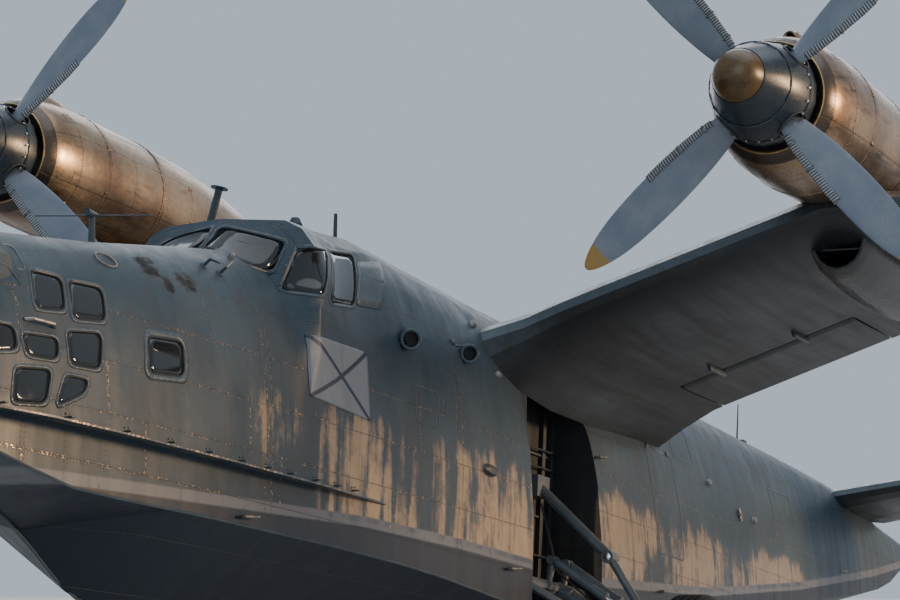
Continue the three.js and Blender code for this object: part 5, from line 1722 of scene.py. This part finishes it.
wells = {"from": 2.5, "to": 4.15, "wall": 0.54, "low": -4.84, "high": -2.5, "ribs": 8,
         "stringers": (-4.4, -3.7, -3.0), "pipes": [(-2.9, 0.62), (-3.1, 0.61), (-4.1, 0.62)]}


def makeWellRibs():
    w = wells
    ribs, pipes = blanks(2)
    middle, tall = (w["low"] + w["high"]) / 2, w["high"] - w["low"]
    for k in range(w["ribs"]):
        s = w["from"] + (w["to"] - w["from"]) * k / (w["ribs"] - 1)
        if abs(s - leg["s"]) < 0.18:
            continue
        addBlock(ribs, (0.05, 0.035, tall),
                 toWorld @ Matrix.Translation((w["wall"] + 0.022, s, middle)), 0.005, 1)
        addBlock(ribs, (0.008, 0.08, tall),
                 toWorld @ Matrix.Translation((w["wall"] + 0.046, s, middle)), 0.002, 1)
    for h in w["stringers"]:
        addBlock(ribs, (0.035, 1.6, 0.03),
                 toWorld @ Matrix.Translation((w["wall"] + 0.016, (w["from"] + w["to"]) / 2, h)), 0.004, 1)
    for h, x in w["pipes"]:
        addRod(pipes, [at(x, w["from"] - 0.1, h), at(x, 3.1, h), at(x, 3.15, h - 0.05),
                       at(x, w["to"] + 0.08, h - 0.05)], 0.013, 8)
    addBoth("wellRibs", ribs, "cover")
    addBoth("wellPipes", pipes, "cover")
    print("wheel wells fitted")


# Wing: brackets, caps, tabs, lamps and wicks

wingTrim = {
    "brackets": [(2.3, 4.82), (3.3, 4.82), (6.1, 4.78), (7.4, 4.7), (8.7, 4.62), (10.3, 4.5), (11.9, 4.36),
                 (13.5, 4.22)],
    "caps": [(6.0, 3.2), (7.6, 3.3), (9.4, 3.4), (3.4, 3.1), (2.3, 3.2)],
    "tab": {"from": 10.0, "to": 11.9, "deep": 0.17},
    "wicks": (10.6, 12.0, 13.2, 14.1),
    "tip": (14.86, 3.9),
}


# The last place of a node along s, at x: (s, h)
def trailingEdge(node, x):
    toAir = toWorld.inverted()
    spots = [toAir @ v.co for v in nodes[node].data.vertices]
    spots.sort(key=lambda p: abs(abs(p.x) - x))
    far = max(p.y for p in spots if abs(abs(p.x) - x) < abs(abs(spots[0].x) - x) + 0.3)
    edge = [p for p in spots if p.y > far - 0.02]
    return far, sum(p.z for p in edge) / len(edge)


def makeWingTrim():
    w = wingTrim
    brackets, caps, wicks = blanks(3)
    for x, s in w["brackets"]:
        addBlock(brackets, (0.045, 0.5, 0.075), standing(*onUnder(x, s), aft, 0.02), 0.018, 3)
    for x, s in w["caps"]:
        point, normal = onTop(x, s, "wing")
        place = standing(point, normal)
        addTurned(caps, [(0, 0.006), (0.06, 0.006), (0.066, 0.003), (0.1, 0.003), (0.105, 0)], place, 32)
        addRod(caps, [place @ Vector((-0.035, 0, 0.009)), place @ Vector((0.035, 0, 0.009))], 0.005, 6)
        for across, up in circle(10):
            addBolt(caps, place @ Vector((0.084 * across, 0.084 * up, 0.003)), normal, 0.006, 0.002, 6)
    addBoth("wingBrackets", brackets, "frame")
    addBoth("fuelCaps", caps, "fitting")
    tab = bmesh.new()
    t = w["tab"]
    x0, x1, deep = t["from"], t["to"], t["deep"]
    s0, s1 = [trailingEdge("aileron_left", x)[0] for x in (x0, x1)]
    lines = [[(x, s - deep * (1 - k / 5)) for k in range(5)] for x, s in ((x0, s0), (x1, s1))]
    lines.append([(x0 + (x1 - x0) * k / 8, s0 + (s1 - s0) * k / 8 - deep) for k in range(9)])
    for line in lines:
        addRod(tab, [lifted(onTop(x, s, "aileron_left"), 0.001) for x, s in line], 0.004, 6)
    push, normal = onTop((x0 + x1) / 2, s0 - deep - 0.16, "aileron_left")
    hook, _ = onTop((x0 + x1) / 2, s0 - deep + 0.04, "aileron_left")
    addRod(tab, [push, push + normal * 0.05, hook + normal * 0.05, hook], 0.006, 8)
    addPair("aileronTab", tab, "cover", "aileron")
    for x in w["wicks"]:
        s, h = trailingEdge("aileron_left", x)
        addRod(wicks, [at(x, s - 0.02, h + 0.004), at(x, s + 0.1, h + 0.008)], 0.0035, 6)
    addPair("aileronWicks", wicks, "black", "aileron")
    for sign, finish in ((1, "redLamp"), (-1, "greenLamp")):
        lamp = bmesh.new()
        x, s = w["tip"]
        point, normal = meet("wing", (x + 1.0, s, -0.86), (-1, 0, 0), 2.0, 0.9)
        place = standing(point, normal, aft, -0.012)
        addTurned(lamp, [(0, 0.024), (0.02, 0.022), (0.034, 0.012), (0.038, 0)],
                  place @ Matrix.Diagonal((1, 2.2, 1, 1)), 24)
        if sign < 0:
            bmesh.ops.scale(lamp, vec=(-1, 1, 1), verts=lamp.verts)
        addPiece("tipLamp_" + finish[:-4], lamp, finish, "airframe")
    print("wings fitted")


# Tail: hinge fairings, tab edges and a tail lamp

tailTrim = {
    "elevatorHinges": (1.2, 2.3, 3.4, 4.3),
    "rudderHinges": (-2.1, -1.3, -0.5, 0.3),
    "rudderTab": (-1.9, -0.7),
    "rudderEdge": (17.34, 17.52),  # s of the tab's front and of its back
    "elevatorTab": (1.0, 2.4),
    "plan": {"root": 0.43, "half": 4.37, "front": 14.78, "sweep": 0.37, "chord": 2.8, "taper": 0.5},
}


# The tailplane's s at x, a share of its chord behind its leading edge
def onTailplane(x, share):
    p = tailTrim["plan"]
    out = (x - p["root"]) / p["half"]
    return p["front"] + p["sweep"] * out + (p["chord"] - p["taper"] * out) * share


def makeTailTrim():
    t = tailTrim
    hinges = bmesh.new()
    for x in t["elevatorHinges"]:
        s = onTailplane(x, 0.64) - 0.2
        for start, toward in (((x, s, 1.0), (0, 0, -1)), ((x, s, -4.0), (0, 0, 1))):
            place = standing(*meet("tailplane_left", start, toward, 5.0, 3.0), aft, 0.008)
            addBlock(hinges, (0.04, 0.2, 0.03), place, 0.01, 3)
    for h in t["rudderHinges"]:
        for start, toward in (((6.5, 16.35, h), (-1, 0, 0)), ((3.5, 16.35, h), (1, 0, 0))):
            place = standing(*meet("fin_left", start, toward, 2.0, 1.5), aft, 0.006)
            addBlock(hinges, (0.04, 0.2, 0.026), place, 0.009, 3)
    addBoth("tailHinges", hinges, "frame")
    edges = bmesh.new()
    low, high = t["rudderTab"]
    front, back = t["rudderEdge"]
    for start, toward in ((6.5, (-1, 0, 0)), (3.5, (1, 0, 0))):
        def onRudder(s, h):
            return meet("rudder_left", (start, s, h), toward, 2.0, 1.5)

        spots = [(back, low)] + [(front, low + (high - low) * k / 8) for k in range(9)] + [(back, high)]
        addRod(edges, [lifted(onRudder(*spot), 0.001) for spot in spots], 0.004, 6)
        push, normal = onRudder(17.18, (low + high) / 2)
        hook, _ = onRudder(17.38, (low + high) / 2)
        addRod(edges, [push, push + normal * 0.045, hook + normal * 0.05, hook], 0.006, 8)
    addPair("rudderTab", edges, "cover", "rudder")
    edges = bmesh.new()
    low, high = t["elevatorTab"]
    for start, toward in ((1.0, -1), (-4.0, 1)):
        line = []
        for k in range(9):
            x = low + (high - low) * k / 8
            spot = (x, onTailplane(x, 1) - 0.2, start)
            line.append(lifted(meet("elevator_left", spot, (0, 0, toward), 5.0, 3.0), 0.001))
        addRod(edges, line, 0.004, 6)
    addPair("elevatorTab", edges, "cover", "elevator")
    lamp = bmesh.new()
    low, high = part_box("tail_boom")
    tip = trees["hull"].find_nearest(Vector((0, high.y + 0.1, low.z + 0.05)))[0]
    addTurned(lamp, [(0, 0.012), (0.02, 0.01), (0.028, 0.0), (0.03, -0.02)],
              standing(tip, Vector((0, 1, 0))), 24)
    addPiece("tailLamp", lamp, "steel", "airframe")
    print("tail fitted")


# Floats: keel strips and collars where the struts enter

floats = {
    "x": 12.5,
    "keel": [(2.0, -3.68), (2.7, -3.86), (3.6, -3.9), (4.5, -3.76), (5.3, -3.48), (5.8, -3.2)],
    "struts": [(3.0, 3.3, 0.06), (4.05, 4.2, 0.048)],  # s at the float, s at the wing, half as thick
    "half": 0.26,  # half of a strut's chord
    "collar": 0.012,
}


def makeFloatTrim():
    f = floats
    strips, collars = blanks(2)
    addRod(strips, [at(f["x"], s, h) for s, h in f["keel"]], 0.013, 8)
    for s, h in ((2.15, -3.05), (5.2, -3.05)):
        point, normal = meet("float_left", (f["x"], s, 0.0), (0, 0, -1))
        top = point + normal * 0.05
        addRod(collars, [point, top], 0.014, 10)
        addRod(collars, [top - Vector((0, 0.06, 0)), top + Vector((0, 0.06, 0))], 0.012, 8)
    for low, high, thick in f["struts"]:
        for h, share in ((-2.84, 0.076), (-1.2, 0.86)):
            s = low + (high - low) * share
            wide, long = thick + f["collar"], f["half"] + f["collar"]
            loop = [at(f["x"] + wide * up, s + long * across, h) for across, up in circle(28)]
            addLoopRod(collars, loop, 0.012, 8)
    for s in (2.9, 3.5, 4.1, 4.7):
        place = standing(*meet("float_left", (f["x"] + 2, s, -3.2), (-1, 0, 0)))
        addTurned(collars, [(0, 0.006), (0.03, 0.006), (0.034, 0)], place, 20)
    addBoth("floatKeels", strips, "strake")
    addBoth("floatFittings", collars, "fitting")
    print("floats fitted")


# Hull: keel strip, covered cockpit panel, drain plugs and odd fittings

hullTrim = {
    "keel": (-7.4, 15.6, 60),  # from, to, steps
    "chine": [(0.69, -7.5, -4.5), (0.8, -7.15, -4.58), (0.85, -6.9, -4.64), (0.925, -6.3, -4.74),
              (0.985, -5.7, -4.75), (1.045, -4.9, -4.745), (1.09, -4.1, -4.74), (1.137, -2.93, -4.74),
              (1.165, -2.1, -4.74), (1.195, -0.8, -4.755), (1.21, 0.2, -4.79), (1.22, 1.4, -4.86),
              (1.225, 2.3, -4.9)],
    "backChine": [(1.225, 4.35, -4.75), (1.17, 6.0, -4.66), (1.07, 8.0, -4.48), (0.94, 9.8, -4.27),
                  (0.85, 10.85, -4.12)],
    "cover": [(-1.183, -1.778), (-0.493, -1.635), (-1.04, -2.249), (-1.572, -2.299)],
    "star": (9.571, -2.958),
    "slot": (14.31, -3.16),
    "crossBar": (4.42, -2.956),
    "oval": (-5.47, -2.615, 0.13, 0.06),
    "drains": [(-2.5, -0.4), (0.5, -0.4), (1.8, -0.35), (6.5, -0.4), (8.5, -0.35), (12.0, -0.2)],
    "rivetPatches": [(-0.2, -3.1, 0.5, 0.36), (7.6, -2.3, 0.7, 0.45), (11.6, -2.6, 0.8, 0.4),
                     (-6.9, -2.85, 0.35, 0.2)],
}


def makeHullTrim():
    t = hullTrim
    keel, chines, small, cover, patches = blanks(5)
    start, end, steps = t["keel"]
    stations = [start + (end - start) * k / steps for k in range(steps + 1)]
    addRod(keel, [onUnder(0.002, s, "hull", 7.5, 5.0)[0] for s in stations], 0.016, 8)
    for run in (t["chine"], t["backChine"]):
        addRod(chines, [at(*spot) for spot in run], 0.013, 8)
    topFront, topBack, lowBack, lowFront = [Vector(c) for c in t["cover"]]
    made = bmesh.ops.create_grid(cover, x_segments=6, y_segments=6, size=0.5)["verts"]
    for v in made:
        across, up = v.co.x + 0.5, v.co.y + 0.5
        spot = lowFront.lerp(lowBack, across).lerp(topFront.lerp(topBack, across), up)
        v.co = lifted(onSide(*spot), 0.004)
    point, normal = onSide(*t["star"])
    place = standing(point, normal, lift=0.02)
    for k in range(4):
        a = math.pi * k / 4
        arm = Vector((math.cos(a), math.sin(a), 0)) * 0.085
        addRod(small, [place @ -arm, place @ arm], 0.009, 8)
    addTurned(small, [(0, 0.02), (0.02, 0.018), (0.028, 0.0), (0.028, -0.03)], place, 12)
    place = standing(*onSide(*t["slot"]), lift=0.004) @ Matrix.Rotation(quarter, 4, "Z")
    addBlock(small, (0.3, 0.035, 0.02), place, 0.006)
    point, normal = onSide(*t["crossBar"])
    for push in (-0.05, 0.05):
        foot = point + Vector((0, push, 0))
        addRod(small, [foot, foot + normal * 0.06], 0.012, 8)
    addRod(small, [point + Vector((0, push, 0)) + normal * 0.06 for push in (-0.1, 0.1)], 0.016, 8)
    s0, h0, long, high = t["oval"]
    oval = [(s0 + long * across, h0 + high * up) for across, up in circle(28)]
    addLoopRod(small, [lifted(onSide(*spot), 0.004) for spot in oval], 0.009, 8)
    for s, x in t["drains"]:
        place = standing(*onUnder(x, s, "hull", 7.5, 5.0))
        addTurned(small, [(0, 0.01), (0.02, 0.01), (0.028, 0.004), (0.03, 0)], place, 20)
    for s, h, long, high in t["rivetPatches"]:
        outline = rounded(rectangle(s, h, long, high), 0.05, 0.05)
        addStrip(patches, outline, grown(outline, 0.016), onSide, 0.0006)
        for spot in outline[::2]:
            point, normal = onSide(*spot)
            addBolt(patches, point, normal, 0.006, 0.003, 6)
    addPiece("keelStrip", keel, "frame", "airframe")
    addBoth("chineStrips", chines, "frame")
    thicken(addBoth("coveredPane", cover, "frame"), 0.002)
    addBoth("hullSmallParts", small, "fitting")
    thicken(addBoth("skinPatches", patches, "frame"), 0.002)
    print("hull trimmed")


setCamera()
makeFinishes()
makeStudio()
dressNodes()
print("nodes dressed")
makeWindows()
makeFlag()
makeScreenWiper()
makeHullFittings()
makeOpenings()
for side, sign in (("left", 1), ("right", -1)):
    makeSpinnerTrim(side, sign)
    makeBlades(side, sign)
    makeBoots(side, sign)
print("propellers dressed")
makeWheels()
makeSeats()
makeCockpit()
makeNacelleTrim()
makeLegTrim()
makeWellRibs()
makeWingTrim()
makeTailTrim()
makeFloatTrim()
makeHullTrim()
